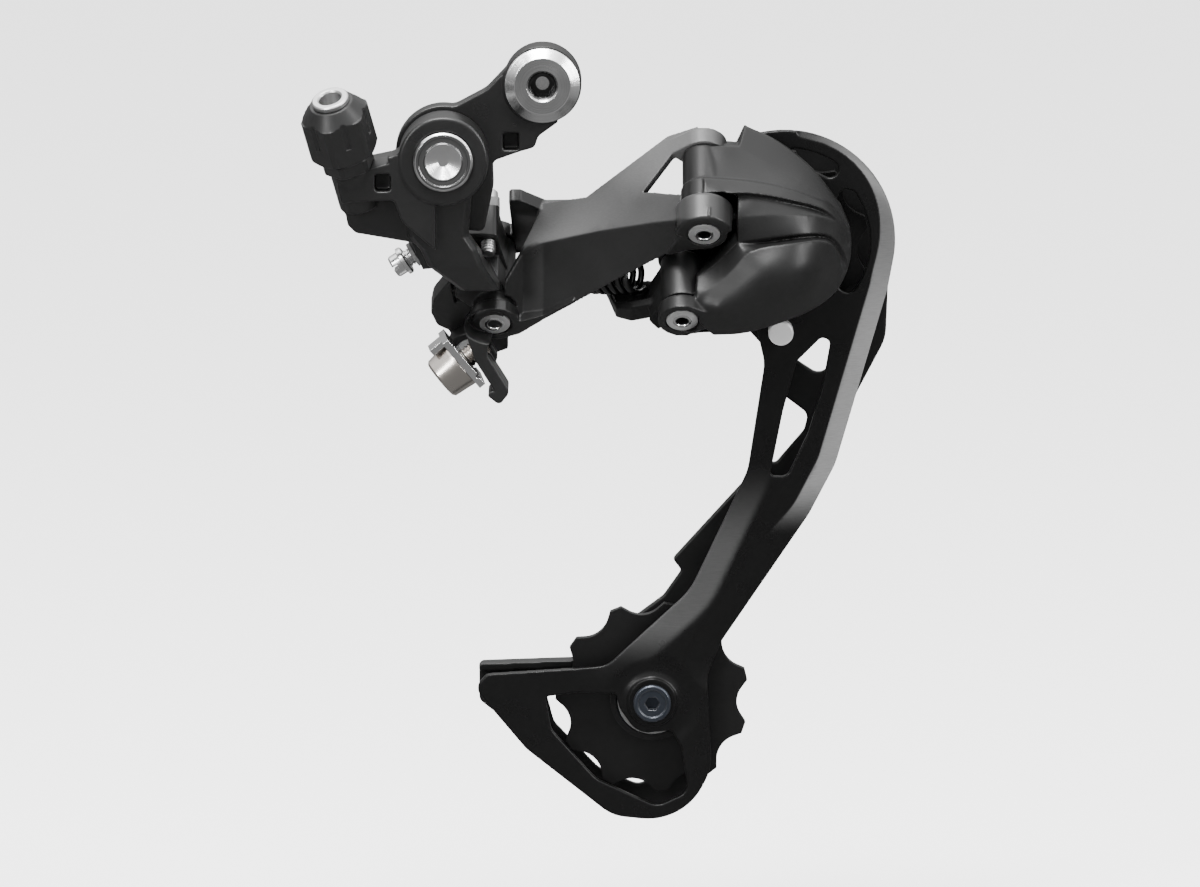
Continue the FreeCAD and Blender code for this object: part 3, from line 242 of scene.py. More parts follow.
finishes = {
    "black_alloy": surface(
        "black_alloy", grey(0.0055), 0.0, 0.33, worn=0.35, bright=grey(0.05), specular=0.26
    ),
    "black_steel": surface(
        "black_steel", grey(0.0026), 0.0, 0.30, worn=0.4, bright=grey(0.05), specular=0.13
    ),
    "dark_steel": surface("dark_steel", grey(0.02), 0.9, 0.42, worn=0.4, bright=grey(0.12)),
    "bright_steel": surface("bright_steel", grey(0.72), 1.0, 0.2, grain=900.0, spread=0.05),
    "clamp_steel": surface("clamp_steel", grey(0.52, 0.07), 1.0, 0.26, grain=700.0, spread=0.06),
    "pin_steel": surface("pin_steel", grey(0.42), 0.9, 0.42, grain=1100.0, worn=0.6, bright=grey(0.8)),
    "bolt_steel": surface("bolt_steel", (0.032, 0.037, 0.047, 1.0), 0.85, 0.3, worn=0.6, bright=grey(0.25)),
    "cap_steel": surface("cap_steel", grey(0.26), 0.9, 0.30, worn=0.5, bright=grey(0.3)),
    "hidden_steel": surface("hidden_steel", grey(0.50), 1.0, 0.34),
    "spring_steel": surface("spring_steel", grey(0.07), 1.0, 0.24, grain=900.0),
    "pulley_plastic": surface(
        "pulley_plastic", grey(0.0035), 0.0, 0.40, grain=1000.0, worn=0.3, bright=grey(0.03), specular=0.14
    ),
    "knob_plastic": surface(
        "knob_plastic", grey(0.006), 0.0, 0.36,
        grain=1000.0, worn=0.2, bright=grey(0.03), bevel=0.0004, specular=0.26,
    ),
    "grey_plastic": surface("grey_plastic", grey(0.06), 0.0, 0.5, grain=1000.0),
    "seal_rubber": surface("seal_rubber", grey(0.005), 0.0, 0.55, grain=900.0, specular=0.2),
    "bush_bronze": surface("bush_bronze", (0.40, 0.28, 0.14, 1.0), 0.9, 0.4, grain=1600.0),
}


def masked(name, base, mask, colour, roughness):
    """A copy of a finish that turns into another colour where the mesh's mask attribute is 1."""
    material = base.copy()
    material.name = name
    tree = material.node_tree
    shader = tree.nodes["Principled BSDF"]
    share = add(tree, "ShaderNodeAttribute", attribute_name=mask).outputs["Fac"]
    place = add(tree, "ShaderNodeTexCoord").outputs["Object"]
    stretch = add(tree, "ShaderNodeMapping", {"Vector": place})
    stretch.inputs["Scale"].default_value = (0.2, 1.0, 4.0)
    brushed = add(
        tree, "ShaderNodeTexNoise", {"Vector": stretch.outputs["Vector"], "Scale": 1500.0, "Detail": 4.0}
    )
    tone = add(tree, "ShaderNodeMix", data_type="RGBA")
    tone.inputs["A"].default_value = tuple(c * 0.6 for c in colour[:3]) + (1.0,)
    tone.inputs["B"].default_value = colour
    tree.links.new(brushed.outputs["Fac"], tone.inputs["Factor"])
    shade = add(tree, "ShaderNodeMix", data_type="RGBA")
    tree.links.new(share, shade.inputs["Factor"])
    tree.links.new(shader.inputs["Base Color"].links[0].from_socket, shade.inputs["A"])
    tree.links.new(tone.outputs["Result"], shade.inputs["B"])
    tree.links.new(shade.outputs["Result"], shader.inputs["Base Color"])
    rough = add(tree, "ShaderNodeMix", {"Factor": share}, data_type="FLOAT")
    tree.links.new(shader.inputs["Roughness"].links[0].from_socket, rough.inputs["A"])
    rough.inputs["B"].default_value = roughness
    tree.links.new(rough.outputs["Result"], shader.inputs["Roughness"])
    return material


slots = {part["node"]: part["material_slot"] for part in frame["record"]["subparts"]}
for name, item in nodes.items():
    item.data.materials.clear()
    item.data.materials.append(finishes[slots[name]])

upper_axis = (-22.2 * MM, 0.0, -15.7 * MM)
# The bands paint shade on the turned steel: the hex socket from 1.5 to 3.2 mm is darkened to 0.08 as painted
# shade, and the flat ring out to 6.2 mm is dimmed to 0.7 as painted shade, against the outer cone at full
# colour.
nodes["hanger_bolt"].data.materials[0] = turned(
    "hanger_bolt_steel", grey(0.8), 0.24, (0.0, 0.0, 0.0), 0.00022, 0.000008,
    [(1.5, 0.9), (3.2, 0.08), (6.2, 0.7), (10.0, 1.0)],
)
nodes["cage_stop_pin"].data.materials[0] = surface(
    "stop_pin_steel", grey(0.42), 0.6, 0.40, grain=600.0, spread=0.14, worn=0.5, bright=grey(0.95),
)
nodes["upper_axle"].data.materials[0] = turned(
    "upper_axle_steel", grey(0.8), 0.22, upper_axis, 0.00025, 0.000008,
    [(4.1, 1.0), (6.1, 0.36), (10.0, 1.0)],
)


# Finished castings and plates ---------------------------------------------------------------------


def settled(piece):
    """The piece's mesh with its modifiers applied."""
    graph = bpy.context.evaluated_depsgraph_get()
    mesh = bpy.data.meshes.new_from_object(piece.evaluated_get(graph))
    piece.modifiers.clear()
    piece.data = mesh
    return mesh


def read_points(mesh):
    """The mesh's points in mm."""
    points = np.empty(len(mesh.vertices) * 3, np.float32)
    mesh.vertices.foreach_get("co", points)
    return points.reshape(-1, 3) / MM


def write_points(mesh, points):
    """Puts points in mm back into the mesh."""
    mesh.vertices.foreach_set("co", (points * MM).astype(np.float32).ravel())
    mesh.update()


def finished(name, grid, rounds, keep, relief=None, mask=None, material=None, skin=None, core=None):
    """The CAD node with softened edges: remeshed evenly, given its relief, smoothed and thinned out.

    grid is the remesh's cell in mm, rounds counts the smoothing steps, and keep is the share of faces kept.
    relief moves the points and mask paints them from 0 to 1. skin is joined on, after core moves the
    node's own points."""
    source = nodes[name]
    piece = bpy.data.objects.new(name + "_finished", source.data.copy())
    bpy.context.collection.objects.link(piece)
    if skin:
        if core:
            write_points(piece.data, core(read_points(piece.data)))
        both = bmesh.new()
        both.from_mesh(piece.data)
        both.from_mesh(skin)
        both.to_mesh(piece.data)
        both.free()
    remesh = piece.modifiers.new("remesh", "REMESH")
    remesh.mode = "VOXEL"
    remesh.voxel_size = grid * MM
    mesh = settled(piece)
    if relief:
        write_points(mesh, relief(read_points(mesh)))
    smooth = piece.modifiers.new("smooth", "SMOOTH")
    smooth.factor = 0.5
    smooth.iterations = rounds
    thin = piece.modifiers.new("thin", "DECIMATE")
    thin.ratio = keep
    mesh = settled(piece)
    mesh.polygons.foreach_set("use_smooth", [True] * len(mesh.polygons))
    if mask:
        values = mesh.attributes.new("mask", "FLOAT", "POINT")
        values.data.foreach_set("value", mask(read_points(mesh)).astype(np.float32))
    mesh.materials.clear()
    mesh.materials.append(material or finishes[slots[name]])
    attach(piece, source["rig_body"])
    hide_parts(name)
    return piece


def spline(line):
    """A smooth run through the points, left sharp where it turns by more than 40 degrees."""
    line = np.array(line, float)
    steps = np.diff(line, axis=0)
    lengths = np.linalg.norm(steps, axis=1)
    ways = steps / lengths[:, None]
    smooth = np.sum(ways[:-1] * ways[1:], axis=1) > math.cos(math.radians(40.0))
    run = []
    for index, (start, end) in enumerate(zip(line[:-1], line[1:])):
        before = ways[index - 1] if index and smooth[index - 1] else ways[index]
        after = ways[index + 1] if index < len(smooth) and smooth[index] else ways[index]
        leave = (before + ways[index]) / 2 * lengths[index]
        arrive = (after + ways[index]) / 2 * lengths[index]
        for share in (0.0, 0.25, 0.5, 0.75):
            cube, square = share**3, share**2
            run.append(tuple(
                (2 * cube - 3 * square + 1) * start + (cube - 2 * square + share) * leave
                + (3 * square - 2 * cube) * end + (cube - square) * arrive
            ))
    return run + [tuple(line[-1])]


def plate_spline(known, wanted):
    """Depths at the wanted places on the smoothest sheet through the known (x, depth, height) points."""

    def bend(first, second):
        gap = np.linalg.norm(first[:, None] - second[None], axis=2)
        return gap**2 * np.log(gap + 1e-9)

    places = known[:, [0, 2]]
    count = len(places)
    flat = np.hstack([np.ones((count, 1)), places])
    whole = np.zeros((count + 3, count + 3))
    softness = 0.02
    whole[:count, :count] = bend(places, places) + softness * np.eye(count)
    whole[:count, count:] = flat
    whole[count:, :count] = flat.T
    weights = np.linalg.lstsq(whole, np.append(known[:, 1], np.zeros(3)), rcond=None)[0]
    level = np.hstack([np.ones((len(wanted), 1)), wanted])
    return bend(wanted, places) @ weights[:count] + level @ weights[count:]


def shell_lines():
    """The rim and the creases of the cage knuckle's skin, and the crests that its patches swell to.

    Each point gives x, its height as seen from VIEW_TILT above, and its depth from SEAT_FACE, in mm."""
    rim = [
        (45.6, -8.5, -0.5), (52.1, -11.4, -0.6), (56.4, -14.2, -0.8), (60.8, -18.0, -1.1),
        (63.8, -21.6, -1.5), (67.3, -26.7, -2.2), (69.5, -32.1, -2.8), (69.8, -35.6, -3.4),
        (69.0, -40.4, -5.0), (66.4, -45.6, -8.4), (60.8, -50.0, -13.5), (54.2, -52.8, -17.5),
        (49.0, -54.5, -19.3), (44.3, -55.5, -20.4), (38.4, -55.8, -21.0), (35.4, -53.2, -22.6),
        (34.6, -47.4, -22.6), (34.6, -42.6, -19.4), (39.0, -39.6, -18.2), (43.8, -35.0, -18.6),
        (43.8, -29.5, -19.0), (43.8, -24.7, -16.6), (40.7, -23.9, -18.4), (36.3, -24.1, -19.0),
        (36.3, -20.6, -15.9), (36.3, -20.1, -14.4), (36.3, -13.0, -7.6), (41.0, -13.2, -7.0),
        (44.2, -13.2, -5.4),
    ]
    creases = [
        [(44.2, -13.2, -5.4), (52.0, -17.8, -6.8), (59.9, -22.4, -7.4), (65.1, -26.0, -5.2),
         (69.5, -32.1, -2.8)],
        [(36.3, -20.1, -14.4), (41.0, -20.4, -13.8), (47.7, -21.0, -12.8), (56.4, -22.9, -11.4),
         (63.0, -25.2, -7.6), (65.1, -26.0, -5.2)],
        [(36.3, -20.6, -15.9), (41.0, -20.9, -15.3), (47.7, -21.5, -14.4), (56.4, -23.4, -12.8),
         (63.0, -25.7, -8.8), (65.1, -26.0, -5.2)],
        [(40.7, -23.9, -18.4), (47.7, -24.1, -17.8), (56.4, -25.6, -15.6), (63.0, -27.3, -11.6),
         (67.0, -30.4, -7.2), (69.0, -34.7, -3.8), (69.8, -35.6, -3.4)],
        [(43.8, -24.7, -16.6), (47.7, -24.6, -16.4), (56.4, -26.1, -14.2), (62.6, -27.8, -10.6),
         (67.0, -30.4, -7.2)],
        [(43.8, -29.5, -19.0), (52.1, -28.9, -18.0), (61.5, -29.0, -13.8), (67.0, -30.4, -7.2)],
        [(43.8, -35.0, -18.6), (49.9, -34.2, -19.4), (58.6, -33.2, -17.4), (64.6, -33.4, -12.6),
         (67.8, -36.6, -7.6), (69.0, -40.4, -5.0)],
        [(43.8, -35.0, -18.6), (50.5, -35.0, -17.6), (58.4, -33.9, -15.6), (64.4, -34.0, -11.0),
         (67.2, -37.2, -6.8), (69.0, -40.4, -5.0)],
        [(34.6, -47.4, -22.6), (40.8, -43.0, -22.0), (46.6, -37.2, -21.4), (56.4, -35.2, -20.6),
         (63.8, -34.8, -15.4), (66.6, -37.6, -10.6), (67.6, -41.3, -8.0), (66.4, -45.6, -8.4)],
    ]
    swell = [
        (50.0, -41.5, -24.2), (57.0, -40.5, -22.6), (62.2, -41.0, -18.0), (44.0, -47.0, -24.6),
        (52.0, -47.0, -23.4), (58.4, -46.2, -19.8), (63.0, -45.0, -14.4), (39.6, -50.5, -24.6),
        (46.0, -51.6, -23.2), (54.4, -50.2, -20.0),
    ]
    return rim, creases, swell


def flat_faces(lines, crests):
    """The lines and crests joined by faces, each corner at the depth of its own point."""
    corners, edges, places = [], [], {}

    def corner(point):
        key = (round(point[0], 2), round(point[1], 2))
        if key not in places:
            places[key] = len(corners)
            corners.append(point)
        return places[key]

    chains = [[corner(point) for point in line] for line in lines]
    for chain in chains:
        edges += [pair for pair in zip(chain[:-1], chain[1:]) if pair[0] != pair[1]]
    for point in crests:
        corner(point)
    flat = [Vector((x, height)) for x, height, depth in corners]
    loop = list(dict.fromkeys(chains[0]))
    spots, _, faces, origins, _, _ = delaunay_2d_cdt(flat, edges, [loop[::-1]], 1, 1e-4)
    known = np.array(corners)
    depths = []
    for spot, origin in zip(spots, origins):
        gaps = np.hypot(known[:, 0] - spot.x, known[:, 1] - spot.y)
        nearest = origin[0] if origin else int(np.argmin(gaps))
        depths.append(corners[nearest][2])
    made = bmesh.new()
    verts = [made.verts.new((spot.x, depth, spot.y)) for spot, depth in zip(spots, depths)]
    for face in faces:
        made.faces.new([verts[index] for index in face])
    return made


def on_lines(points, lines):
    """Which of the points lie on one of the lines."""
    near = np.zeros(len(points), bool)
    for line in lines:
        near |= away_from(points, np.array(line)[:, :2]) < 0.02
    return near


def number_patches(made, lines):
    """Numbers the faces from 1 in their material index, patch by patch, and gives the count of patches."""
    middles = {edge: np.array([(edge.verts[0].co + edge.verts[1].co) / 2]) for edge in made.edges}
    walls = {edge for edge, middle in middles.items() if on_lines(middle, lines)[0]}
    patch = 0
    left = set(made.faces)
    while left:
        patch += 1
        front = [left.pop()]
        while front:
            face = front.pop()
            face.material_index = patch
            for edge in face.edges:
                if edge in walls:
                    continue
                for other in edge.link_faces:
                    if other in left:
                        left.discard(other)
                        front.append(other)
    return patch


def patch_depths(shell, lines, swell, patch_count):
    """The shell's points, with each patch bent smoothly between its lines and over its crests."""
    points = np.empty(len(shell.vertices) * 3, np.float32)
    shell.vertices.foreach_get("co", points)
    points = points.reshape(-1, 3).astype(float)
    pinned = on_lines(points, lines)
    members = [set() for _ in range(patch_count + 1)]
    for face in shell.polygons:
        members[face.material_index].update(face.vertices)
    crests = np.array(swell)
    most_points = 220
    for group in members:
        steps = np.array(sorted(group), int)
        if not len(steps):
            continue
        border = points[steps[pinned[steps]]]
        border = border[:: max(1, len(border) // most_points)]
        free = steps[~pinned[steps]]
        reach = np.hypot(points[free, 0][:, None] - crests[:, 0], points[free, 2][:, None] - crests[:, 1])
        inside = crests[reach.min(axis=0) < 0.05] if len(free) else crests[:0]
        border = np.vstack([border, inside[:, [0, 2, 1]]])
        if len(free):
            points[free, 1] = plate_spline(border, points[free][:, [0, 2]])
    return points


def knuckle_shell():
    """The cage knuckle's outer skin: crisp creases with smooth patches between them."""
    rim, creases, swell = shell_lines()
    lines = [spline(line) for line in [rim + rim[:1]] + creases]
    made = flat_faces(lines, swell)
    patch_count = number_patches(made, lines)
    for _ in range(3):
        bmesh.ops.subdivide_edges(made, edges=made.edges[:], cuts=1, use_grid_fill=True)
        bmesh.ops.triangulate(made, faces=made.faces[:])
    shell = bpy.data.meshes.new("knuckle_shell")
    made.to_mesh(shell)
    made.free()
    points = patch_depths(shell, lines, swell, patch_count)
    forward = (points[:, 1] + VIEW_ZERO) * math.sin(VIEW_TILT)
    points[:, 2] = (points[:, 2] - forward) / math.cos(VIEW_TILT)
    points[:, 1] += SEAT_FACE
    write_points(shell, points)
    made = bmesh.new()
    made.from_mesh(shell)
    shell_back = 1.5
    grown = bmesh.ops.extrude_face_region(made, geom=made.faces[:])
    back = [item for item in grown["geom"] if isinstance(item, bmesh.types.BMVert)]
    for vert in back:
        vert.co.y = (SEAT_FACE + shell_back) * MM
    bmesh.ops.recalc_face_normals(made, faces=made.faces[:])
    made.to_mesh(shell)
    made.free()
    return shell


LEVER_TILT = math.radians(48.0)
PIN_A = (-11.0, 42.5)
PIN_B = (36.3, 9.8)
PIN_C = (-15.9, 56.5)
PIN_D = (31.4, 23.8)


def lever_point(x, across, along):
    """A point given by its place across and along the tilted pivot axes, in metres."""
    y = across * math.cos(LEVER_TILT) - along * math.sin(LEVER_TILT) + SEAT_FACE
    z = -across * math.sin(LEVER_TILT) - along * math.cos(LEVER_TILT)
    return Vector((x, y, z)) * MM


def wrap_mesh():
    """The outer link's cheek that wraps round the front of its far pivot."""
    turns = np.radians(np.linspace(176.0, 352.0, 49))
    ring = [(5.6, 29.5), (6.5, 29.9), (6.6, 30.4), (6.3, 36.6), (5.9, 36.9), (5.2, 36.9)]
    made = bmesh.new()
    rows = []
    for turn in turns:
        spots = [
            lever_point(PIN_B[0] + radius * math.cos(turn), PIN_B[1] + radius * math.sin(turn), along)
            for radius, along in ring
        ]
        rows.append([made.verts.new(spot) for spot in spots])
    count = len(ring)
    for first, second in zip(rows[:-1], rows[1:]):
        for index in range(count):
            after = (index + 1) % count
            made.faces.new((first[index], first[after], second[after], second[index]))
    made.faces.new(rows[0])
    made.faces.new(rows[-1][::-1])
    bmesh.ops.recalc_face_normals(made, faces=made.faces[:])
    mesh = bpy.data.meshes.new("wrap")
    made.to_mesh(mesh)
    made.free()
    return mesh


def pivot_pin(name, place, head, tail):
    """A hollow riveted pin: a grey flange, a bright rolled rim and a dark bore."""
    profile = [
        (0.0, tail, 0), (2.1, tail, 0), (2.36, tail + 0.3, 0), (2.36, head - 0.8, 0), (3.55, head - 0.8, 0),
        (3.6, head - 0.2, 0), (3.4, head, 0), (2.15, head + 0.02, 0), (2.0, head + 0.18, 1),
        (1.8, head + 0.26, 1), (1.55, head + 0.2, 1), (1.42, head, 1), (1.36, head - 0.4, 2),
        (1.32, head - 2.6, 2), (0.0, head - 2.9, 2),
    ]
    steps = 72
    made = bmesh.new()
    rows = []
    for radius, along, _ in profile:
        turns = [2 * math.pi * index / steps for index in range(steps if radius else 1)]
        rows.append([
            made.verts.new(
                lever_point(place[0] + radius * math.cos(turn), place[1] + radius * math.sin(turn), along)
            )
            for turn in turns
        ])
    for (first, second), (_, _, slot_index) in zip(zip(rows[:-1], rows[1:]), profile[1:]):
        for index in range(steps):
            after = (index + 1) % steps
            corners = [first[index % len(first)], first[after % len(first)],
                       second[after % len(second)], second[index % len(second)]]
            face = made.faces.new(list(dict.fromkeys(corners)))
            face.material_index = slot_index
            face.smooth = True
    bmesh.ops.recalc_face_normals(made, faces=made.faces[:])
    mesh = bpy.data.meshes.new(name + "_turned")
    made.to_mesh(mesh)
    made.free()
    mesh.materials.append(finishes["pin_steel"])
    mesh.materials.append(finishes["bright_steel"])
    mesh.materials.append(finishes["dark_steel"])
    piece = bpy.data.objects.new(name + "_turned", mesh)
    bpy.context.collection.objects.link(piece)
    split = piece.modifiers.new("split", "EDGE_SPLIT")
    split.split_angle = math.radians(40.0)
    settled(piece)
    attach(piece, nodes[name]["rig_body"])
    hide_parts(name)


def ramp(value, start, end):
    """0 up to start, 1 from end on, with a smooth run between them."""
    share = np.clip((value - start) / (end - start), 0.0, 1.0)
    return share * share * (3.0 - 2.0 * share)


def outline(name, levels, side):
    """The node's furthest x at each z level, on the side given by +1 or -1."""
    mesh = nodes[name].data
    points = read_points(mesh)
    pairs = np.empty(len(mesh.edges) * 2, np.int32)
    mesh.edges.foreach_get("vertices", pairs)
    ends = points[pairs.reshape(-1, 2)]
    found = []
    for level in levels:
        low = ends[:, 0, 2] - level
        high = ends[:, 1, 2] - level
        crossing = low * high < 0
        share = low[crossing] / (low[crossing] - high[crossing])
        x = ends[crossing, 0, 0] + share * (ends[crossing, 1, 0] - ends[crossing, 0, 0])
        found.append((side * (side * x).max(), level))
    return np.array(found)


def away_from(points, line):
    """Distance in the xz plane from each point to a line of points."""
    best = np.full(len(points), 1e9)
    spots = points[:, [0, 2]]
    for start, end in zip(line[:-1], line[1:]):
        run = end - start
        share = np.clip(((spots - start) @ run) / max(run @ run, 1e-9), 0.0, 1.0)
        best = np.minimum(best, np.linalg.norm(spots - start - share[:, None] * run, axis=1))
    return best


plate_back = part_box("outer_cage_plate")[1].y / MM
plate_depth = 2.0
guide = sum(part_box("guide_pulley_bolt"), Vector()) / 2 / MM
tension = sum(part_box("tension_pulley_bolt"), Vector()) / 2 / MM
plate_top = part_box("outer_cage_plate")[1].z / MM
right_edge = outline("outer_cage_plate", np.arange(plate_top - 0.3, tension.z + 8.0, -1.5), 1.0)
left_edge = outline("outer_cage_plate", np.arange(guide.z - 28.0, tension.z + 8.0, -1.5), -1.0)


def band_share(points):
    """1 at the plate's front edge, 0 where the bevelled band ends."""
    z = points[:, 2]
    width = 1.2 + 3.2 * ramp(-z, -plate_top + 2.0, -plate_top + 34.0) + 2.0 * ramp(-z, 96.0, 112.0)
    return np.clip(1.0 - away_from(points, right_edge) / width, 0.0, 1.0)


def flank_share(points):
    """1 at the plate's rear edge, 0 where the sunk flank ends."""
    flank_width = 6.5
    return np.clip(1.0 - away_from(points, left_edge) / flank_width, 0.0, 1.0)


def cage_relief(points):
    """A bevelled band along the front edge, a sunk flank behind the blade and a dished boss."""
    z = points[:, 2]
    front = np.clip((plate_back - points[:, 1]) / plate_depth, 0.0, 1.0)
    band_depth, flank_depth, dish_depth = 1.25, 1.1, 0.55
    flank = flank_depth * flank_share(points) * ramp(-z, 84.0, 100.0)
    flank = flank * ramp(z, tension.z + 2.0, tension.z + 12.0)
    drop = np.maximum(band_depth * band_share(points), flank)
    from_boss = np.hypot(points[:, 0] - tension.x, z - tension.z)
    dish = ramp(from_boss, 5.6, 7.4) * ramp(-from_boss, -12.0, -8.5)
    drop = np.maximum(drop, dish_depth * dish)
    points[:, 1] += drop * front
    return points


def cage_mask(points):
    """Where the plate's band is brushed bare, with painted shade that dims it towards the top and leaves it
    out near the top left, and a painted highlight, a glint, along the sunk flank.
    """
    z = points[:, 2]
    share = ramp(band_share(points), 0.02, 0.10)
    # Painted shade: the band is left out near the top left and dimmed from full strength lower down to 0.45
    # at the top.
    shown = ramp(points[:, 0], guide.x + 6.0, guide.x + 20.0) + ramp(-z, 52.0, 62.0)
    strength = 0.45 + 0.55 * ramp(-z, 30.0, 62.0)
    band = share * strength * np.clip(shown, 0.0, 1.0) * ramp(z, -106.0, -92.0)
    # Painted highlight: a glint along the sunk flank near the lower end.
    glint_strength = 0.28
    glint = glint_strength * ramp(flank_share(points), 0.05, 0.3)
    glint = glint * ramp(-z, 88.0, 110.0) * ramp(z, tension.z + 8.0, tension.z + 18.0)
    return np.maximum(band, glint) * (points[:, 1] < plate_back - 0.25)


# The plate's mask paints its bare band, with painted shade and a painted highlight on it.
finished(
    "outer_cage_plate", 0.26, 2, 0.45, cage_relief, cage_mask,
    masked("brushed_band_and_painted_light", finishes["black_steel"], "mask", grey(0.105), 0.36),
)
finished("inner_cage_plate", 0.28, 3, 0.3)


def behind_shell(points):
    """Draws the plain body in behind the creased skin, and leaves the barrel and the lugs."""
    barrel_end = 42.6
    cover = 0.2
    body = points[:, 0] > barrel_end
    points[body, 1] = np.maximum(points[body, 1], SEAT_FACE - cover)
    return points


finished(
    "cage_knuckle", 0.26, 4, 0.35,
    material=surface("knuckle_black", grey(0.005), 0.0, 0.36, worn=0.3, bright=grey(0.05), specular=0.15),
    skin=knuckle_shell(), core=behind_shell,
)
finished("bracket_knuckle", 0.24, 5, 0.35)


def height_seen(points):
    """The points' heights as seen from VIEW_TILT above."""
    depth = points[:, 1] - SEAT_FACE
    return points[:, 2] * math.cos(VIEW_TILT) + (depth + VIEW_ZERO) * math.sin(VIEW_TILT)


def behind_lug(points):
    """Draws the cable arm in behind the lug that carries the rear outer pin, inside an ellipse as seen."""
    depth, z = points[:, 1] - SEAT_FACE, points[:, 2]
    tilt_sin, tilt_cos = math.sin(LEVER_TILT), math.cos(LEVER_TILT)
    across = depth * tilt_cos - z * tilt_sin
    along = -depth * tilt_sin - z * tilt_cos
    seen = height_seen(points)
    from_pin = np.hypot(points[:, 0] - PIN_A[0], across - PIN_A[1])
    head_radius, under_head, beside_head = 3.8, 36.2, 36.9
    lug = np.where(from_pin < head_radius, under_head, beside_head)
    back = -(lug + z * tilt_cos) / tilt_sin
    half_width, half_height, centre_seen = 6.0, 3.7, -53.1
    inside = np.hypot((points[:, 0] - PIN_A[0]) / half_width, (seen - centre_seen) / half_height)
    share = ramp(-inside, -1.22, -1.0)
    pushed = (along > lug) & (back > depth)
    points[pushed, 1] += (share * (back - depth))[pushed]
    return points


def link_mask(points):
    """Where the link's upper facets are grey: above its fold, right of its slanted end, fading along x."""
    x = points[:, 0]
    seen = height_seen(points)
    fold = np.interp(x, [-4.8, 13.0, 30.3], [-35.5, -32.0, -29.8])
    end = np.interp(seen, [-35.5, -24.5], [-4.8, 0.2])
    fade = np.interp(x, [-4.0, 6.0, 16.0, 28.0, 33.0, 37.0, 41.0], [1.0, 0.85, 0.45, 0.3, 0.2, 0.15, 0.0])
    raised = ramp(seen, -25.5, -19.0) * ramp(x, 8.0, 18.0)
    upper_fade = np.interp(x, [8.0, 24.0, 34.0, 38.0, 41.0], [0.4, 0.9, 0.85, 0.6, 0.1])
    fade = fade + (upper_fade - fade) * raised
    return ramp(seen, fold - 0.35, fold + 0.35) * ramp(x - end, -0.3, 0.3) * fade


finished(
    "outer_link", 0.22, 4, 0.4, behind_lug, link_mask,
    masked("grey_facet", finishes["black_alloy"], "mask", grey(0.072), 0.34), wrap_mesh(),
)
finished("inner_link", 0.28, 4, 0.3)


def same_mesh(name, ending):
    """A new piece with the node's own mesh and finish that takes the node's place."""
    piece = bpy.data.objects.new(name + ending, nodes[name].data.copy())
    bpy.context.collection.objects.link(piece)
    piece.data.materials.clear()
    piece.data.materials.append(finishes[slots[name]])
    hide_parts(name)
    return piece


def shorter_clamp_bolt():
    """The cable clamp bolt with its tip drawn in to the arm."""
    way = np.array(Vector((0.77, 0.05, 0.636)).normalized())
    hole = np.array(Vector((-15.9, -1.0 + SEAT_FACE, -62.6)))
    longest = 3.6
    bolt = same_mesh("cable_clamp_bolt", "_finished")
    points = read_points(bolt.data)
    reach = (points - hole) @ way
    points -= np.maximum(reach - longest, 0.0)[:, None] * way
    write_points(bolt.data, points)
    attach(bolt, nodes["cable_clamp_bolt"]["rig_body"])


def carried_spring():
    """The return spring: a copy of its node's mesh with the transform baked in."""
    spring = same_mesh("return_spring", "_carried")
    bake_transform(spring)


def shorter_cage_axle():
    """The cage axle with its front end kept under the cage knuckle's skin."""
    front = SEAT_FACE - 11.5
    axle = same_mesh("cage_axle", "_finished")
    points = read_points(axle.data)
    points[:, 1] = np.maximum(points[:, 1], front)
    write_points(axle.data, points)
    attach(axle, nodes["cage_axle"]["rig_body"])


shorter_clamp_bolt()
carried_spring()
shorter_cage_axle()
pivot_pin("outer_link_pin_rear", PIN_A, 36.9, 10.9)
pivot_pin("outer_link_pin_front", PIN_B, 36.9, 10.3)
pivot_pin("inner_link_pin_rear", PIN_C, 33.2, 16.1)
pivot_pin("inner_link_pin_front", PIN_D, 50.5, 30.2)
finished("bracket_link", 0.26, 4, 0.3)


# Camera, floor and light ------------------------------------------------------------------------


def area_light(name, place, target, width, height, power):
    """A rectangular lamp that faces the target."""
    data = bpy.data.lights.new(name, "AREA")
    data.shape = "RECTANGLE"
    data.size = width
    data.size_y = height
    data.energy = power
    lamp = bpy.data.objects.new(name, data)
    bpy.context.collection.objects.link(lamp)
    lamp.location = place
    lamp.rotation_mode = "QUATERNION"
    lamp.rotation_quaternion = (Vector(target) - Vector(place)).to_track_quat("-Z", "Y")


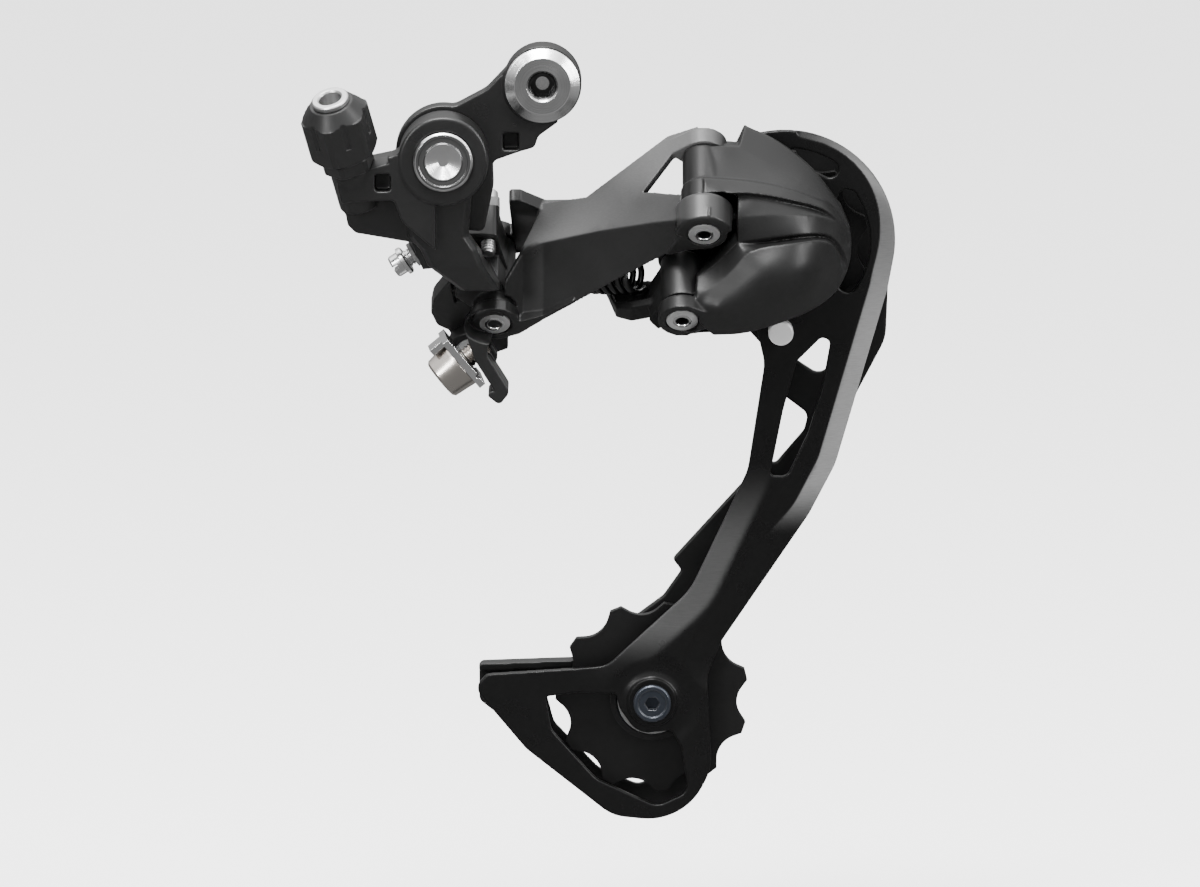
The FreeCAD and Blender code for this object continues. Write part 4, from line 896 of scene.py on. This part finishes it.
target = Vector((0.01295, -0.0052, -0.08364))
distance = 2.2
field_width = 0.2727
data = bpy.data.cameras.new("camera")
data.sensor_width = 36.0
data.lens = data.sensor_width * distance / field_width
data.clip_start = 0.05
data.clip_end = 60.0
camera = bpy.data.objects.new("camera", data)
bpy.context.collection.objects.link(camera)
camera.location = target + Vector((0.0, -math.cos(VIEW_TILT), math.sin(VIEW_TILT))) * distance
camera.rotation_mode = "QUATERNION"
camera.rotation_quaternion = (target - camera.location).to_track_quat("-Z", "Y")
bpy.context.scene.camera = camera

floor_gap = 0.04  # room for the cage, which hangs lower when the links swing out
bpy.ops.mesh.primitive_plane_add(size=12.0, location=(0.0, 0.0, cad_low.z - floor_gap))
floor = bpy.context.object
floor.name = "floor"
floor.visible_glossy = False
paper = surface("floor_paper", grey(0.86), 0.0, 0.9, grain=300.0, depth=0.00003, bevel=0.0001)
floor.data.materials.append(paper)

world = bpy.data.worlds.new("studio")
world.use_nodes = True
tree = world.node_tree
direction = add(tree, "ShaderNodeTexCoord").outputs["Generated"]
height = add(tree, "ShaderNodeSeparateXYZ", {"Vector": direction}).outputs["Z"]
low_sky = add(
    tree,
    "ShaderNodeMapRange",
    {"Value": height, "From Min": 0.05, "From Max": 0.55, "To Min": 0.28, "To Max": 1.3},
    interpolation_type="SMOOTHSTEP",
)
high_sky = add(
    tree,
    "ShaderNodeMapRange",
    {"Value": height, "From Min": 0.55, "From Max": 0.97, "To Min": 0.0, "To Max": 4.2},
    interpolation_type="SMOOTHSTEP",
)
both_skies = {0: low_sky.outputs["Result"], 1: high_sky.outputs["Result"]}
sky = add(tree, "ShaderNodeMath", both_skies, operation="ADD")
tree.nodes["Background"].inputs["Color"].default_value = (1.0, 1.0, 1.0, 1.0)
shown = add(tree, "ShaderNodeLightPath").outputs["Is Camera Ray"]
backdrop = add(tree, "ShaderNodeMix", {"Factor": shown}, data_type="FLOAT")
tree.links.new(sky.outputs["Value"], backdrop.inputs["A"])
backdrop.inputs["B"].default_value = 0.82
tree.links.new(backdrop.outputs["Result"], tree.nodes["Background"].inputs["Strength"])
bpy.context.scene.world = world

middle = (0.015, -0.01, -0.08)
area_light("overhead", (-0.10, -0.30, 0.75), middle, 0.5, 0.35, 22.0)
area_light("right_strip", (0.80, -0.40, 0.32), middle, 0.15, 0.6, 11.0)
area_light("left_strip", (-0.60, -0.75, 0.36), middle, 0.15, 0.5, 7.0)
